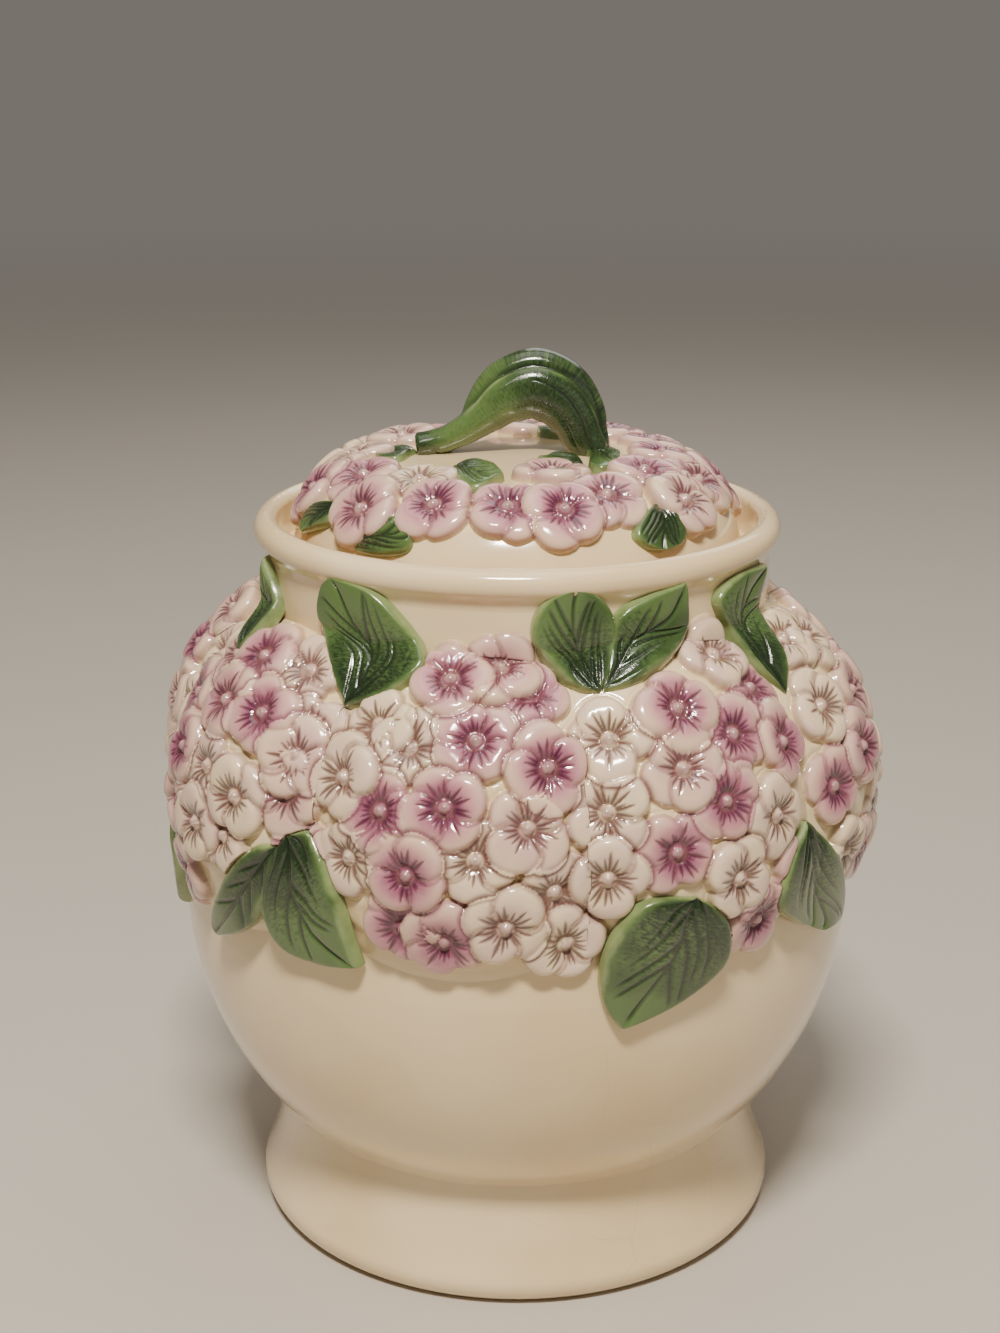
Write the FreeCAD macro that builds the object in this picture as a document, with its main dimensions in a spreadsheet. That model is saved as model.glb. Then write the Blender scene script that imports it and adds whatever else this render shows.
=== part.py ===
import FreeCAD, Part
import math
import os

import Sketcher

# Biscuit jar: a round-bellied pedestal jar with a drop-in lid.
# Flower heads and leaves stand in relief round its shoulder and on the lid.
# Millimetres, +Z up, the origin on the ground at the centre of the foot.
# Bearings are degrees about +Z, 0 at the front (-Y) and growing towards +X.

Vector = FreeCAD.Vector
UP = Vector(0, 0, 1)

# Driving sizes of the jar's wall, rim, seat and foot.
JAR = {
    "belly_r": 104.0,
    "shoulder_r": 145.0,
    "neck_r": 76.5,
    "neck_blend": 20.0,
    "neck_length": 14.0,
    "flare_r": 6.0,
    "rim_out": 3.2,
    "rim_lip": 4.4,
    "rim_inside_lip": 2.8,
    "wall_thick": 5.0,
    "crease_r": 76.0,
    "foot_height": 37.0,
    "foot_out": 7.0,
    "foot_lip": 6.6,
    "foot_lean": 25.0,
    "foot_wall_r": 68.0,
    "foot_ring_wide": 6.4,
    "foot_recess": 2.5,
    "floor_thick": 5.5,
    "floor_round": 6.0,
    "seat_depth": 12.2,
    "seat_thick": 6.5,
    "seat_wide": 10.0,
}

# Driving sizes of the lid, its locating ring and its handle.
LID = {
    "seat_gap": 0.3,
    "side_gap": 4.7,
    "lid_round": 27.5,
    "lid_crown": 1.4,
    "lid_thick": 4.8,
    "ring_gap": 1.5,
    "ring_thick": 5.0,
    "ring_depth": 12.0,
    "handle_span": 26.0,
    "handle_rise": 20.2,
    "handle_thick": 10.4,
    "handle_wide": 7.3,
}

# Driving sizes of the relief.
RELIEF = {
    "bloom_r": 62.0,
    "bloom_proud": 6.0,
    "bloom_rise": 37.0,
    "bloom_tilt": 22.0,
    "floret_pitch": 18.8,
    "floret_r": 8.7,
    "petal_r": 4.6,
    "floret_thick": 2.4,
    "bead_r": 1.6,
    "leaf_thick": 3.0,
    "relief_gap": 0.4,
    "lid_relief": 2.6,
    "lid_floret_angle": 52.0,
    "lid_inner_angle": 92.0,
}

# Bearings of the four flower heads on one half of the jar. The other half repeats them.
BLOOM_TURNS = [-54.0, -10.0, 31.0, 74.0]

# Leaves over the shoulder on one half of the jar: bearing, height above the foot of the
# neck, length, width, and the lean of the tip from straight up, towards +X at the front.
SHOULDER_LEAVES = [
    [-66.0, 4.0, 27.0, 15.0, -20.0],
    [-30.5, 2.0, 37.0, 31.0, -14.0],
    [9.5, 6.0, 33.0, 26.0, -28.0],
    [28.0, 4.0, 38.0, 26.0, 42.0],
    [56.5, -1.0, 42.0, 22.0, -30.0],
]

# Leaves under the flower heads, measured in height from the belly's widest line.
BELLY_LEAVES = [
    [-76.0, 14.0, 28.0, 18.0, 176.0],
    [-46.5, 22.0, 38.0, 22.0, -143.0],
    [-31.0, 24.0, 40.0, 24.0, 140.0],
    [22.5, 10.0, 44.0, 30.0, -144.0],
    [55.0, 19.0, 38.0, 27.0, 170.0],
]

# Leaves on one half of the lid: bearing, angle up its rounded shoulder, length, width, lean.
LID_LEAVES = [
    [-65.0, 26.0, 15.0, 12.0, 20.0],
    [-36.0, 24.0, 17.0, 13.0, 60.0],
    [40.0, 28.0, 18.0, 14.0, -15.0],
    [-14.0, 92.0, 16.0, 9.0, 80.0],
    [62.0, 92.0, 15.0, 9.0, -75.0],
]

# Bearings of the florets on one half of the lid, round its shoulder and round its crown.
LID_TURNS = [-50.5, -22.0, 2.0, 26.0, 54.0, 78.0, 101.0]
LID_INNER_TURNS = [-64.0, -37.0, 9.0, 36.0, 88.0]

# The handle's centre line: share of the half span, share of the rise above the lid's
# crown, share of the thickness and share of the width at that point.
HANDLE_ROUTE = [
    [-1.16, 0.08, 0.38, 0.59],
    [-0.96, 0.15, 0.40, 0.63],
    [-0.75, 0.25, 0.47, 0.68],
    [-0.55, 0.43, 0.63, 0.78],
    [-0.33, 0.68, 0.83, 0.90],
    [-0.08, 0.91, 0.95, 0.99],
    [0.23, 1.00, 1.00, 1.00],
    [0.52, 0.85, 0.92, 0.97],
    [0.73, 0.55, 0.80, 0.93],
    [0.83, 0.27, 0.70, 0.90],
    [0.90, -0.16, 0.62, 0.88],
]

# Where a leaf is widest, as a share of its length from the base.
LEAF_WAIST = 0.42

# Turn of each floret about its own bead from the one before, in degrees.
SPIN = 37

# Places that follow from the sizes: each is a formula cell.
FOOT_PLACES = {
    "foot_lip_x": "sizes.crease_r + sizes.foot_out - sizes.foot_lip",
    "foot_ring_r": "foot_lip_x - sizes.foot_ring_wide",
    "foot_wall_x": "foot_lip_x + sizes.foot_lip * cos(sizes.foot_lean)",
    "foot_wall_z": "sizes.foot_lip + sizes.foot_lip * sin(sizes.foot_lean)",
    "floor_z": "sizes.foot_recess + sizes.floor_thick",
    "belly_z": "sizes.foot_height + sqrt(sizes.belly_r^2 - sizes.crease_r^2)",
    "inner_crease_r": "sizes.crease_r - sizes.wall_thick",
    "inner_belly_r": "sizes.belly_r - sizes.wall_thick",
    "inner_crease_z": "belly_z - sqrt(inner_belly_r^2 - inner_crease_r^2)",
}
NECK_PLACES = {
    "blend_x": "sizes.neck_r + sizes.neck_blend",
    "shoulder_back": "sizes.shoulder_r - sizes.belly_r",
    "blend_reach": "sizes.shoulder_r + sizes.neck_blend",
    "blend_run": "(blend_x + shoulder_back) / blend_reach",
    "blend_climb": "sqrt(1 - blend_run^2)",
    "neck_z": "belly_z + blend_reach * blend_climb",
    "flare_z": "neck_z + sizes.neck_length",
    "lip_x": "sizes.neck_r + sizes.rim_out - sizes.rim_lip",
    "flare_reach": "sizes.flare_r + sizes.rim_lip",
    "flare_run": "(sizes.neck_r + sizes.flare_r - lip_x) / flare_reach",
    "flare_climb": "sqrt(1 - flare_run^2)",
    "lip_z": "flare_z + flare_reach * flare_climb",
    "lip_under_x": "lip_x + sizes.rim_lip * flare_run",
    "lip_under_z": "lip_z - sizes.rim_lip * flare_climb",
    "rim_z": "lip_z + sizes.rim_lip",
    "seat_r": "lip_x - sizes.rim_inside_lip",
    "seat_z": "rim_z - sizes.seat_depth",
    "mouth_r": "seat_r - sizes.seat_wide",
}
LID_PLACES = {
    "lid_z": "seat_z + sizes.seat_gap",
    "lid_r": "seat_r - sizes.side_gap",
    "lid_ring_r": "lid_r - sizes.lid_round",
    "lid_top_z": "lid_z + sizes.lid_round",
    "lid_crown_z": "lid_top_z + sizes.lid_crown",
    "lid_crown_r": "(lid_ring_r^2 + sizes.lid_crown^2) / (2 * sizes.lid_crown)",
    "lid_inner_r": "sizes.lid_round - sizes.lid_thick",
    "shell_foot_r": "lid_ring_r + lid_inner_r",
    "ring_outer_r": "mouth_r - sizes.ring_gap",
    "ring_inner_r": "ring_outer_r - sizes.ring_thick",
    "ring_round": "sizes.ring_thick / 2",
    "ring_z": "lid_z - sizes.ring_depth",
    "ring_top_z": "lid_z + sqrt(lid_inner_r^2 - (ring_inner_r - lid_ring_r)^2)",
}
RELIEF_PLACES = {
    "bloom_x": "sizes.belly_r + sizes.bloom_proud - sizes.bloom_r",
    "bloom_z": "belly_z + sizes.bloom_rise",
    "far_r": "1.2 * (sizes.belly_r + sizes.bloom_proud)",
}


doc = FreeCAD.newDocument("biscuit_jar")
sub_parts = []


def fill(sheet, values):
    """Write one named value to a row of the sheet."""
    for row, (name, value) in enumerate(values.items(), start=1):
        sheet.set("A%d" % row, name)
        sheet.set("B%d" % row, str(value))
        sheet.setAlias("B%d" % row, name)


def numbered(name, values):
    """Name each value of a list, counting from 1."""
    return {"%s_%d" % (name, index): value for index, value in enumerate(values, start=1)}


def leaf_rows(name, leaves):
    """Name the five values of each leaf."""
    fields = ["turn", "level", "long", "wide", "lean"]
    return {
        "%s_%d_%s" % (name, index, field): value
        for index, leaf in enumerate(leaves, start=1)
        for field, value in zip(fields, leaf)
    }


sizes = doc.addObject("Spreadsheet::Sheet", "sizes")
rows = {}
for values in (
    JAR,
    LID,
    RELIEF,
    numbered("bloom_turn", BLOOM_TURNS),
    numbered("lid_turn", LID_TURNS),
    numbered("lid_inner_turn", LID_INNER_TURNS),
):
    rows.update(values)
for name, leaves in (
    ("shoulder_leaf", SHOULDER_LEAVES),
    ("belly_leaf", BELLY_LEAVES),
    ("lid_leaf", LID_LEAVES),
):
    rows.update(leaf_rows(name, leaves))
fill(sizes, rows)

places = doc.addObject("Spreadsheet::Sheet", "places")
formulas = {}
for values in (FOOT_PLACES, NECK_PLACES, LID_PLACES, RELIEF_PLACES):
    formulas.update({name: "=" + text for name, text in values.items()})
fill(places, formulas)
doc.recompute()


def number(text):
    """The value of an expression over the two sheets."""
    return float(sizes.evalExpression(text))


def size(name):
    return float(getattr(sizes, name))


def place(name):
    return float(getattr(places, name))


def outward(turn):
    """Level unit vector at a bearing."""
    angle = math.radians(turn)
    return Vector(math.sin(angle), -math.cos(angle), 0)


def keep(shape_object, label):
    """Mark an object as a sub-part and name it."""
    shape_object.Label = label
    sub_parts.append(shape_object)
    return shape_object


def opposite(original, label):
    """The same piece turned to the other half of the jar."""
    item = doc.addObject("Part::Feature", label)
    item.Shape = original.Shape
    item.Placement = FreeCAD.Placement(Vector(), FreeCAD.Rotation(UP, 180))
    return keep(item, label)


# Sketch helpers.
# An outline is a list of corners. Each corner is its x, its y and the curve to the next
# corner: None for a straight line, or the radius and side of an arc, where +1 turns
# anticlockwise and -1 clockwise.

LINE_ENDS = (1, 2)
BACKWARD_ENDS = (2, 1)


def arc(start, end, radius, side):
    """Arc of under half a turn between two points."""
    chord = end - start
    left = Vector(-chord.y, chord.x, 0).normalize()
    rise = math.sqrt(radius**2 - (chord.Length / 2) ** 2)
    centre = (start + end) * 0.5 + left * (rise * side)
    first = math.atan2(start.y - centre.y, start.x - centre.x)
    last = math.atan2(end.y - centre.y, end.x - centre.x)
    if side < 0:
        first, last = last, first
    if last < first:
        last += 2 * math.pi
    return Part.ArcOfCircle(Part.Circle(centre, UP, radius), first, last)


def draw(sketch, corners):
    """Draw a closed outline and tie each corner and radius to its expression."""
    points = [Vector(number(x), number(y), 0) for x, y, curve in corners]
    ends = []
    for index, (x, y, curve) in enumerate(corners):
        start = points[index]
        end = points[(index + 1) % len(points)]
        if curve is None:
            sketch.addGeometry(Part.LineSegment(start, end), False)
            ends.append(LINE_ENDS)
            continue
        radius, side = curve
        sketch.addGeometry(arc(start, end, number(radius), side), False)
        ends.append(LINE_ENDS if side > 0 else BACKWARD_ENDS)
        tied = sketch.addConstraint(Sketcher.Constraint("Radius", index, number(radius)))
        sketch.setExpression("Constraints[%d]" % tied, radius)
    for index in range(len(corners)):
        following = (index + 1) % len(corners)
        join = Sketcher.Constraint(
            "Coincident", index, ends[index][1], following, ends[following][0]
        )
        sketch.addConstraint(join)
    for index, (x, y, curve) in enumerate(corners):
        for kind, text, axis in (("DistanceX", x, -2), ("DistanceY", y, -1)):
            corner = ends[index][0]
            if text == "0":
                sketch.addConstraint(Sketcher.Constraint("PointOnObject", index, corner, axis))
                continue
            rule = Sketcher.Constraint(kind, -1, 1, index, corner, number(text))
            tied = sketch.addConstraint(rule)
            sketch.setExpression("Constraints[%d]" % tied, text)


def body_sketch(body, name, corners):
    """Sketch on the body's own XZ plane: x is the radius and y the height."""
    sketch = body.newObject("Sketcher::SketchObject", name)
    plane = [item for item in body.Origin.OriginFeatures if item.Role == "XZ_Plane"][0]
    sketch.AttachmentSupport = [(plane, "")]
    sketch.MapMode = "FlatFace"
    draw(sketch, corners)
    return sketch


def turned_body(name, corners):
    """Body turned from one outline about the vertical axis."""
    body = doc.addObject("PartDesign::Body", name)
    turning = body.newObject("PartDesign::Revolution", name + "_turned")
    turning.Profile = body_sketch(body, name + "_outline", corners)
    turning.ReferenceAxis = (turning.Profile[0], ["V_Axis"])
    turning.Angle = 360
    doc.recompute()
    return body


def turned_blank(name, corners):
    """Helper solid turned from one outline. It only shapes other pieces."""
    sketch = doc.addObject("Sketcher::SketchObject", name + "_outline")
    sketch.Placement.Rotation = FreeCAD.Rotation(Vector(1, 0, 0), 90)
    draw(sketch, corners)
    solid = doc.addObject("Part::Revolution", name)
    solid.Source = sketch
    solid.Axis = UP
    solid.Angle = 360
    solid.Solid = True
    return solid


def bind(item, rules):
    """Tie properties of an object to expressions."""
    for name, text in rules.items():
        item.setExpression(name, text)
    return item


def boolean(kind, name, base, tool):
    item = doc.addObject("Part::" + kind, name)
    item.Base = base
    item.Tool = tool
    return item


def fused(name, items):
    item = doc.addObject("Part::MultiFuse", name)
    item.Shapes = items
    return item


# Jar.


def jar_outside():
    """Outline of the jar without its hollow, from the underside up to the rim."""
    return [
        ("0", "sizes.foot_recess", None),
        ("places.foot_ring_r", "sizes.foot_recess", None),
        ("places.foot_ring_r + sizes.foot_recess", "0", None),
        ("places.foot_lip_x", "0", ("sizes.foot_lip", 1)),
        ("places.foot_wall_x", "places.foot_wall_z", ("sizes.foot_wall_r", -1)),
        ("sizes.crease_r", "sizes.foot_height", ("sizes.belly_r", 1)),
    ] + wall_above_belly("0") + [
        ("sizes.neck_r", "places.flare_z", ("sizes.flare_r", -1)),
        ("places.lip_under_x", "places.lip_under_z", ("sizes.rim_lip", 1)),
        ("places.lip_x", "places.rim_z", None),
        ("0", "places.rim_z", None),
    ]


def wall_above_belly(proud):
    """Corners of the wall from its widest line to the neck, standing proud of it."""
    blend = "(sizes.neck_blend - %s)" % proud
    return [
        ("sizes.belly_r + " + proud, "places.belly_z", ("sizes.shoulder_r + " + proud, 1)),
        (
            "places.blend_x - %s * places.blend_run" % blend,
            "places.neck_z - %s * places.blend_climb" % blend,
            (blend, -1),
        ),
        ("sizes.neck_r + " + proud, "places.neck_z", None),
    ]


def jar_hollow():
    """Outline of the cavity, the seat and the mouth."""
    blend = "(sizes.neck_blend + sizes.wall_thick)"
    return [
        ("0", "places.floor_z", None),
        ("places.foot_lip_x - sizes.floor_round", "places.floor_z", ("sizes.floor_round", 1)),
        ("places.foot_lip_x", "places.floor_z + sizes.floor_round", None),
        ("places.inner_crease_r", "places.inner_crease_z", ("places.inner_belly_r", 1)),
        ("places.inner_belly_r", "places.belly_z", ("sizes.shoulder_r - sizes.wall_thick", 1)),
        (
            "places.blend_x - %s * places.blend_run" % blend,
            "places.neck_z - %s * places.blend_climb" % blend,
            (blend, -1),
        ),
        ("sizes.neck_r - sizes.wall_thick", "places.neck_z", None),
        ("places.mouth_r", "places.seat_z - sizes.seat_thick", None),
        ("places.mouth_r", "places.seat_z", None),
        ("places.seat_r", "places.seat_z", None),
        ("places.seat_r", "places.rim_z - sizes.rim_inside_lip", ("sizes.rim_inside_lip", -1)),
        ("places.lip_x", "places.rim_z", None),
        ("places.lip_x", "places.rim_z + sizes.rim_lip", None),
        ("0", "places.rim_z + sizes.rim_lip", None),
    ]


def make_jar():
    """Thrown and hollowed jar with its foot, seat and rolled rim."""
    body = turned_body("jar_body", jar_outside())
    full = body.Shape.Volume
    hollow = body.newObject("PartDesign::Groove", "jar_hollow")
    hollow.Profile = body_sketch(body, "jar_hollow_outline", jar_hollow())
    hollow.ReferenceAxis = (hollow.Profile[0], ["V_Axis"])
    hollow.Angle = 360
    doc.recompute()
    if body.Shape.Volume > 0.6 * full:
        raise ValueError("the jar was not hollowed")
    return keep(body, "jar_body")


# Skins: the relief is cut from skins that follow what lies under it.


def jar_cover():
    """Outline of the jar's wall from below the leaves to the rim, as thick as a leaf."""
    low = "(places.belly_z - sizes.belly_r / 2)"
    reach = "(sizes.belly_r + sizes.leaf_thick)"
    return [
        ("0", low, None),
        ("sqrt(%s^2 - (sizes.belly_r / 2)^2)" % reach, low, (reach, 1)),
    ] + wall_above_belly("sizes.leaf_thick") + [
        ("sizes.neck_r + sizes.leaf_thick", "places.lip_under_z", None),
        ("0", "places.lip_under_z", None),
    ]


def bloom_ball(name, turn, radius):
    """Ball whose outer cap is one flower head."""
    ball = doc.addObject("Part::Sphere", name)
    rules = {
        "Radius": radius,
        "Placement.Base.x": "places.bloom_x * sin(%s)" % turn,
        "Placement.Base.y": "-places.bloom_x * cos(%s)" % turn,
        "Placement.Base.z": "places.bloom_z",
    }
    return bind(ball, rules)


def all_turns():
    """Expression for the bearing of every flower head, in order round the jar."""
    names = ["sizes.bloom_turn_%d" % index for index in range(1, len(BLOOM_TURNS) + 1)]
    return ["(%s)" % name for name in names] + ["(%s + 180)" % name for name in names]


jar_body = make_jar()
jar_blank = turned_blank("jar_blank", jar_outside())
turns = all_turns()
balls = [
    bloom_ball("bloom_ball_%d" % index, turn, "sizes.bloom_r")
    for index, turn in enumerate(turns, start=1)
]
covers = [
    bloom_ball("bloom_cover_%d" % index, turn, "sizes.bloom_r + sizes.leaf_thick")
    for index, turn in enumerate(turns, start=1)
]
relief_bed = fused("relief_bed", [jar_blank] + balls)
relief_cover = fused("relief_cover", [turned_blank("jar_cover", jar_cover())] + covers)
jar_skin = boolean("Cut", "jar_skin", relief_cover, relief_bed)
doc.recompute()


# Flower heads.


def bloom_bounds(index):
    """Bearings halfway to the flower heads on each side."""
    count = len(turns)
    middle = number(turns[index])
    before = number(turns[index - 1]) - (360 if index == 0 else 0)
    after = number(turns[(index + 1) % count]) + (360 if index == count - 1 else 0)
    return (before + middle) / 2, (middle + after) / 2


def make_bloom(index):
    """Domed bed of one flower head, from the wall outwards, up to its neighbours."""
    name = "bloom_%d" % (index + 1)
    dome = boolean("Cut", name + "_dome", balls[index], jar_blank)
    first, last = bloom_bounds(index)
    sector = doc.addObject("Part::Cylinder", name + "_sector")
    bind(sector, {"Radius": "places.far_r", "Height": "places.rim_z"})
    sector.Angle = last - first
    sector.Placement.Rotation = FreeCAD.Rotation(UP, first - 90)
    return keep(boolean("Common", name, dome, sector), name)


blooms = [make_bloom(index) for index in range(len(BLOOM_TURNS))]
doc.recompute()
for index, bloom in enumerate(blooms, start=len(BLOOM_TURNS) + 1):
    opposite(bloom, "bloom_%d" % index)


# Leaves.


def leaf_outline(leaf):
    """Corners of a leaf: base, right, tip and left, its base on the x axis."""
    wide = "sizes.%s_wide" % leaf
    long = "sizes.%s_long" % leaf
    waist = "%s * %g" % (long, LEAF_WAIST)
    point = "%s * %g" % (long, 1 - LEAF_WAIST)
    base_arc = "((%s / 2)^2 + (%s)^2) / %s" % (wide, waist, wide)
    tip_arc = "((%s / 2)^2 + (%s)^2) / %s" % (wide, point, wide)
    return [
        ("%s / 2" % wide, "0", (base_arc, 1)),
        (wide, waist, (tip_arc, 1)),
        ("%s / 2" % wide, long, (tip_arc, 1)),
        ("0", waist, (base_arc, 1)),
    ]


def leaf_frame(leaf, middle, normal, side):
    """Placement of a leaf's sketch: its middle at a point, its face along a normal."""
    lean = math.radians(size(leaf + "_lean"))
    climb = normal.cross(side)
    across = side * math.cos(lean) - climb * math.sin(lean)
    along = side * math.sin(lean) + climb * math.cos(lean)
    corner = middle - across * (size(leaf + "_wide") / 2) - along * (size(leaf + "_long") / 2)
    return FreeCAD.Placement(corner, FreeCAD.Rotation(across, along, normal, "ZXY"))


def make_leaf(leaf, frame, depth, skin, before=None):
    """Leaf cut from a skin by a prism of its outline, up to the leaf before it."""
    sketch = doc.addObject("Sketcher::SketchObject", leaf + "_outline")
    draw(sketch, leaf_outline(leaf))
    sketch.Placement = frame
    prism = doc.addObject("Part::Extrusion", leaf + "_prism")
    prism.Base = sketch
    prism.DirMode = "Normal"
    prism.Solid = True
    bind(prism, {"LengthFwd": depth})
    if before is None:
        return keep(boolean("Common", leaf, prism, skin), leaf)
    whole = boolean("Common", leaf + "_whole", prism, skin)
    return keep(boolean("Cut", leaf, whole, before), leaf)


def jar_leaf(leaf, datum, before):
    """Leaf on the wall or over the flower heads, its height counted from a datum."""
    normal = outward(size(leaf + "_turn"))
    level = place(datum) + size(leaf + "_level")
    middle = normal * (size("neck_r") / 2) + UP * level
    frame = leaf_frame(leaf, middle, normal, UP.cross(normal))
    return make_leaf(leaf, frame, "places.far_r", jar_skin, before)


def jar_leaf_row(name, count, datum):
    """Row of leaves on one half of the jar and the same row on the other half."""
    row = []
    for index in range(1, count + 1):
        before = row[-1] if row else None
        row.append(jar_leaf("%s_%d" % (name, index), datum, before))
    doc.recompute()
    again = [opposite(leaf, "%s_%d" % (name, index)) for index, leaf in enumerate(row, count + 1)]
    return row + again


jar_leaves = jar_leaf_row("shoulder_leaf", len(SHOULDER_LEAVES), "neck_z")
jar_leaves += jar_leaf_row("belly_leaf", len(BELLY_LEAVES), "belly_z")


# Lid.


def lid_outside(proud):
    """Outline of the solid lid above its seat, standing proud by an amount."""
    crown = "(places.lid_crown_r + %s)" % proud
    return [
        ("0", "places.lid_z", None),
        ("places.lid_r + " + proud, "places.lid_z", ("sizes.lid_round + " + proud, 1)),
        ("places.lid_ring_r", "places.lid_top_z + " + proud, (crown, 1)),
        ("0", "places.lid_crown_z + " + proud, None),
    ]


def lid_section():
    """Outline of the lid's own section: an even shell, open below."""
    return [
        ("places.shell_foot_r", "places.lid_z", None),
        ("places.lid_r", "places.lid_z", ("sizes.lid_round", 1)),
        ("places.lid_ring_r", "places.lid_top_z", ("places.lid_crown_r", 1)),
        ("0", "places.lid_crown_z", None),
        ("0", "places.lid_top_z - sizes.lid_thick", None),
        ("places.lid_ring_r", "places.lid_top_z - sizes.lid_thick", ("places.lid_inner_r", -1)),
    ]


def ring_section():
    """Outline of the locating ring's section: it fills the lid's rim and hangs in the mouth."""
    return [
        ("places.ring_inner_r", "places.ring_z + places.ring_round", ("places.ring_round", 1)),
        ("places.ring_inner_r + places.ring_round", "places.ring_z", ("places.ring_round", 1)),
        ("places.ring_outer_r", "places.ring_z + places.ring_round", None),
        ("places.ring_outer_r", "places.lid_z", None),
        ("places.shell_foot_r", "places.lid_z", ("places.lid_inner_r", 1)),
        ("places.ring_inner_r", "places.ring_top_z", None),
    ]


lid_body = keep(turned_body("lid_body", lid_section()), "lid_body")
keep(turned_body("lid_locating_ring", ring_section()), "lid_locating_ring")
lid_blank = turned_blank("lid_blank", lid_outside("0"))
lid_cover = turned_blank("lid_cover", lid_outside("sizes.lid_relief"))
lid_skin = boolean("Cut", "lid_skin", lid_cover, lid_blank)
doc.recompute()


# Handle.


def handle_point(index):
    """Point of the handle's centre line."""
    share, rise = HANDLE_ROUTE[index][:2]
    level = place("lid_crown_z") + size("handle_rise") * rise
    return Vector(size("handle_span") * share, 0, level)


def handle_section(index):
    """Oval section of the handle, square to its centre line."""
    before = handle_point(max(index - 1, 0))
    after = handle_point(min(index + 1, len(HANDLE_ROUTE) - 1))
    along = (after - before).normalize()
    across = Vector(0, 1, 0)
    thick, wide = HANDLE_ROUTE[index][2:]
    radii = [
        ("sizes.handle_thick * %g" % thick, across.cross(along)),
        ("sizes.handle_wide * %g" % wide, across),
    ]
    radii.sort(key=lambda item: number(item[0]), reverse=True)
    major, first = radii[0]
    minor = radii[1][0]
    oval = doc.addObject("Part::Ellipse", "handle_section_%d" % index)
    bind(oval, {"MajorRadius": major, "MinorRadius": minor})
    turn = FreeCAD.Rotation(first, along.cross(first), along, "ZXY")
    oval.Placement = FreeCAD.Placement(handle_point(index), turn)
    return oval


def make_handle():
    """Arched stem handle, its feet standing on the lid's crown."""
    arch = doc.addObject("Part::Loft", "handle_arch")
    arch.Sections = [handle_section(index) for index in range(len(HANDLE_ROUTE))]
    arch.Solid = True
    return keep(boolean("Cut", "lid_handle", arch, lid_blank), "lid_handle")


lid_handle = make_handle()


def lid_spot(turn, angle, proud):
    """Point and normal on the lid's rounded shoulder or crown."""
    level = math.radians(angle)
    normal = outward(turn) * math.cos(level) + UP * math.sin(level)
    ring = outward(turn) * place("lid_ring_r") + UP * place("lid_z")
    return ring + normal * (size("lid_round") + proud), normal


def lid_leaf(index):
    """Leaf on the lid."""
    leaf = "lid_leaf_%d" % index
    turn = size(leaf + "_turn")
    middle, normal = lid_spot(turn, size(leaf + "_level"), -size("lid_thick"))
    frame = leaf_frame(leaf, middle, normal, UP.cross(outward(turn)))
    return make_leaf(leaf, frame, "2 * sizes.lid_thick + sizes.lid_relief", lid_skin)


lid_leaves = [lid_leaf(index) for index in range(1, len(LID_LEAVES) + 1)]
doc.recompute()
for index, leaf in enumerate(list(lid_leaves), start=len(LID_LEAVES) + 1):
    lid_leaves.append(opposite(leaf, "lid_leaf_%d" % index))


# Florets.
# A floret is made once, its petals round the Z axis, then copied to each place.


def petals(name, height):
    """Four round petals and the disc that joins them, standing on the XY plane."""
    discs = []
    for index in range(4):
        disc = doc.addObject("Part::Cylinder", "%s_petal_%d" % (name, index + 1))
        turn = outward(90 * index + 45)
        reach = "(sizes.floret_r - sizes.petal_r)"
        bind(disc, {
            "Radius": "sizes.petal_r",
            "Height": height,
            "Placement.Base.x": "%s * %g" % (reach, turn.x),
            "Placement.Base.y": "%s * %g" % (reach, turn.y),
        })
        discs.append(disc)
    hub = doc.addObject("Part::Cylinder", name + "_hub")
    bind(hub, {"Radius": "sizes.petal_r * 0.8", "Height": height})
    return fused(name, discs + [hub])


def domed_floret():
    """Floret that lies on a flower head's dome, the dome's centre at the origin."""
    top = doc.addObject("Part::Sphere", "floret_top")
    bind(top, {"Radius": "sizes.bloom_r + sizes.floret_thick"})
    under = doc.addObject("Part::Sphere", "floret_under")
    bind(under, {"Radius": "sizes.bloom_r"})
    blank = petals("floret_petals", "sizes.bloom_r + 2 * sizes.floret_thick")
    plate = boolean("Cut", "floret_plate", boolean("Common", "floret_cap", blank, top), under)
    bead = doc.addObject("Part::Sphere", "floret_bead")
    bind(bead, {
        "Radius": "sizes.bead_r",
        "Placement.Base.z": "sizes.bloom_r + sizes.floret_thick",
    })
    whole = fused("floret", [plate, bead])
    doc.recompute()
    return whole.Shape


def facing(direction, spin):
    """Rotation that takes +Z to a direction, after a spin about +Z."""
    return FreeCAD.Rotation(UP, direction).multiply(FreeCAD.Rotation(UP, spin))


def wall_radius(level):
    """Outside radius of the jar's wall at a height above the crease."""
    rise = level - place("belly_z")
    if rise < 0:
        return math.sqrt(max(size("belly_r") ** 2 - rise**2, 0))
    back = place("shoulder_back")
    if level > place("neck_z"):
        return size("neck_r")
    shoulder = math.sqrt(size("shoulder_r") ** 2 - rise**2) - back
    return max(shoulder, size("neck_r"))


def bearing(point):
    return math.degrees(math.atan2(point.x, -point.y))


def clear_of(point, radius, pieces):
    """Whether a ball about a point stays clear of some pieces."""
    spot = Part.Vertex(point)
    for piece in pieces:
        box = piece.Shape.BoundBox
        box.enlarge(radius)
        if box.isInside(point) and piece.Shape.distToShape(spot)[0] < radius:
            return False
    return True


def rim_points(centre, direction, span, reach):
    """Points round the edge of a floret at a distance from a dome's centre."""
    side = direction.cross(UP).normalize()
    climb = side.cross(direction)
    spread = span / size("bloom_r")
    points = []
    for step in range(12):
        angle = math.radians(30 * step)
        lean = side * math.cos(angle) + climb * math.sin(angle)
        points.append(centre + (direction * math.cos(spread) + lean * math.sin(spread)) * reach)
    return points


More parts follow.
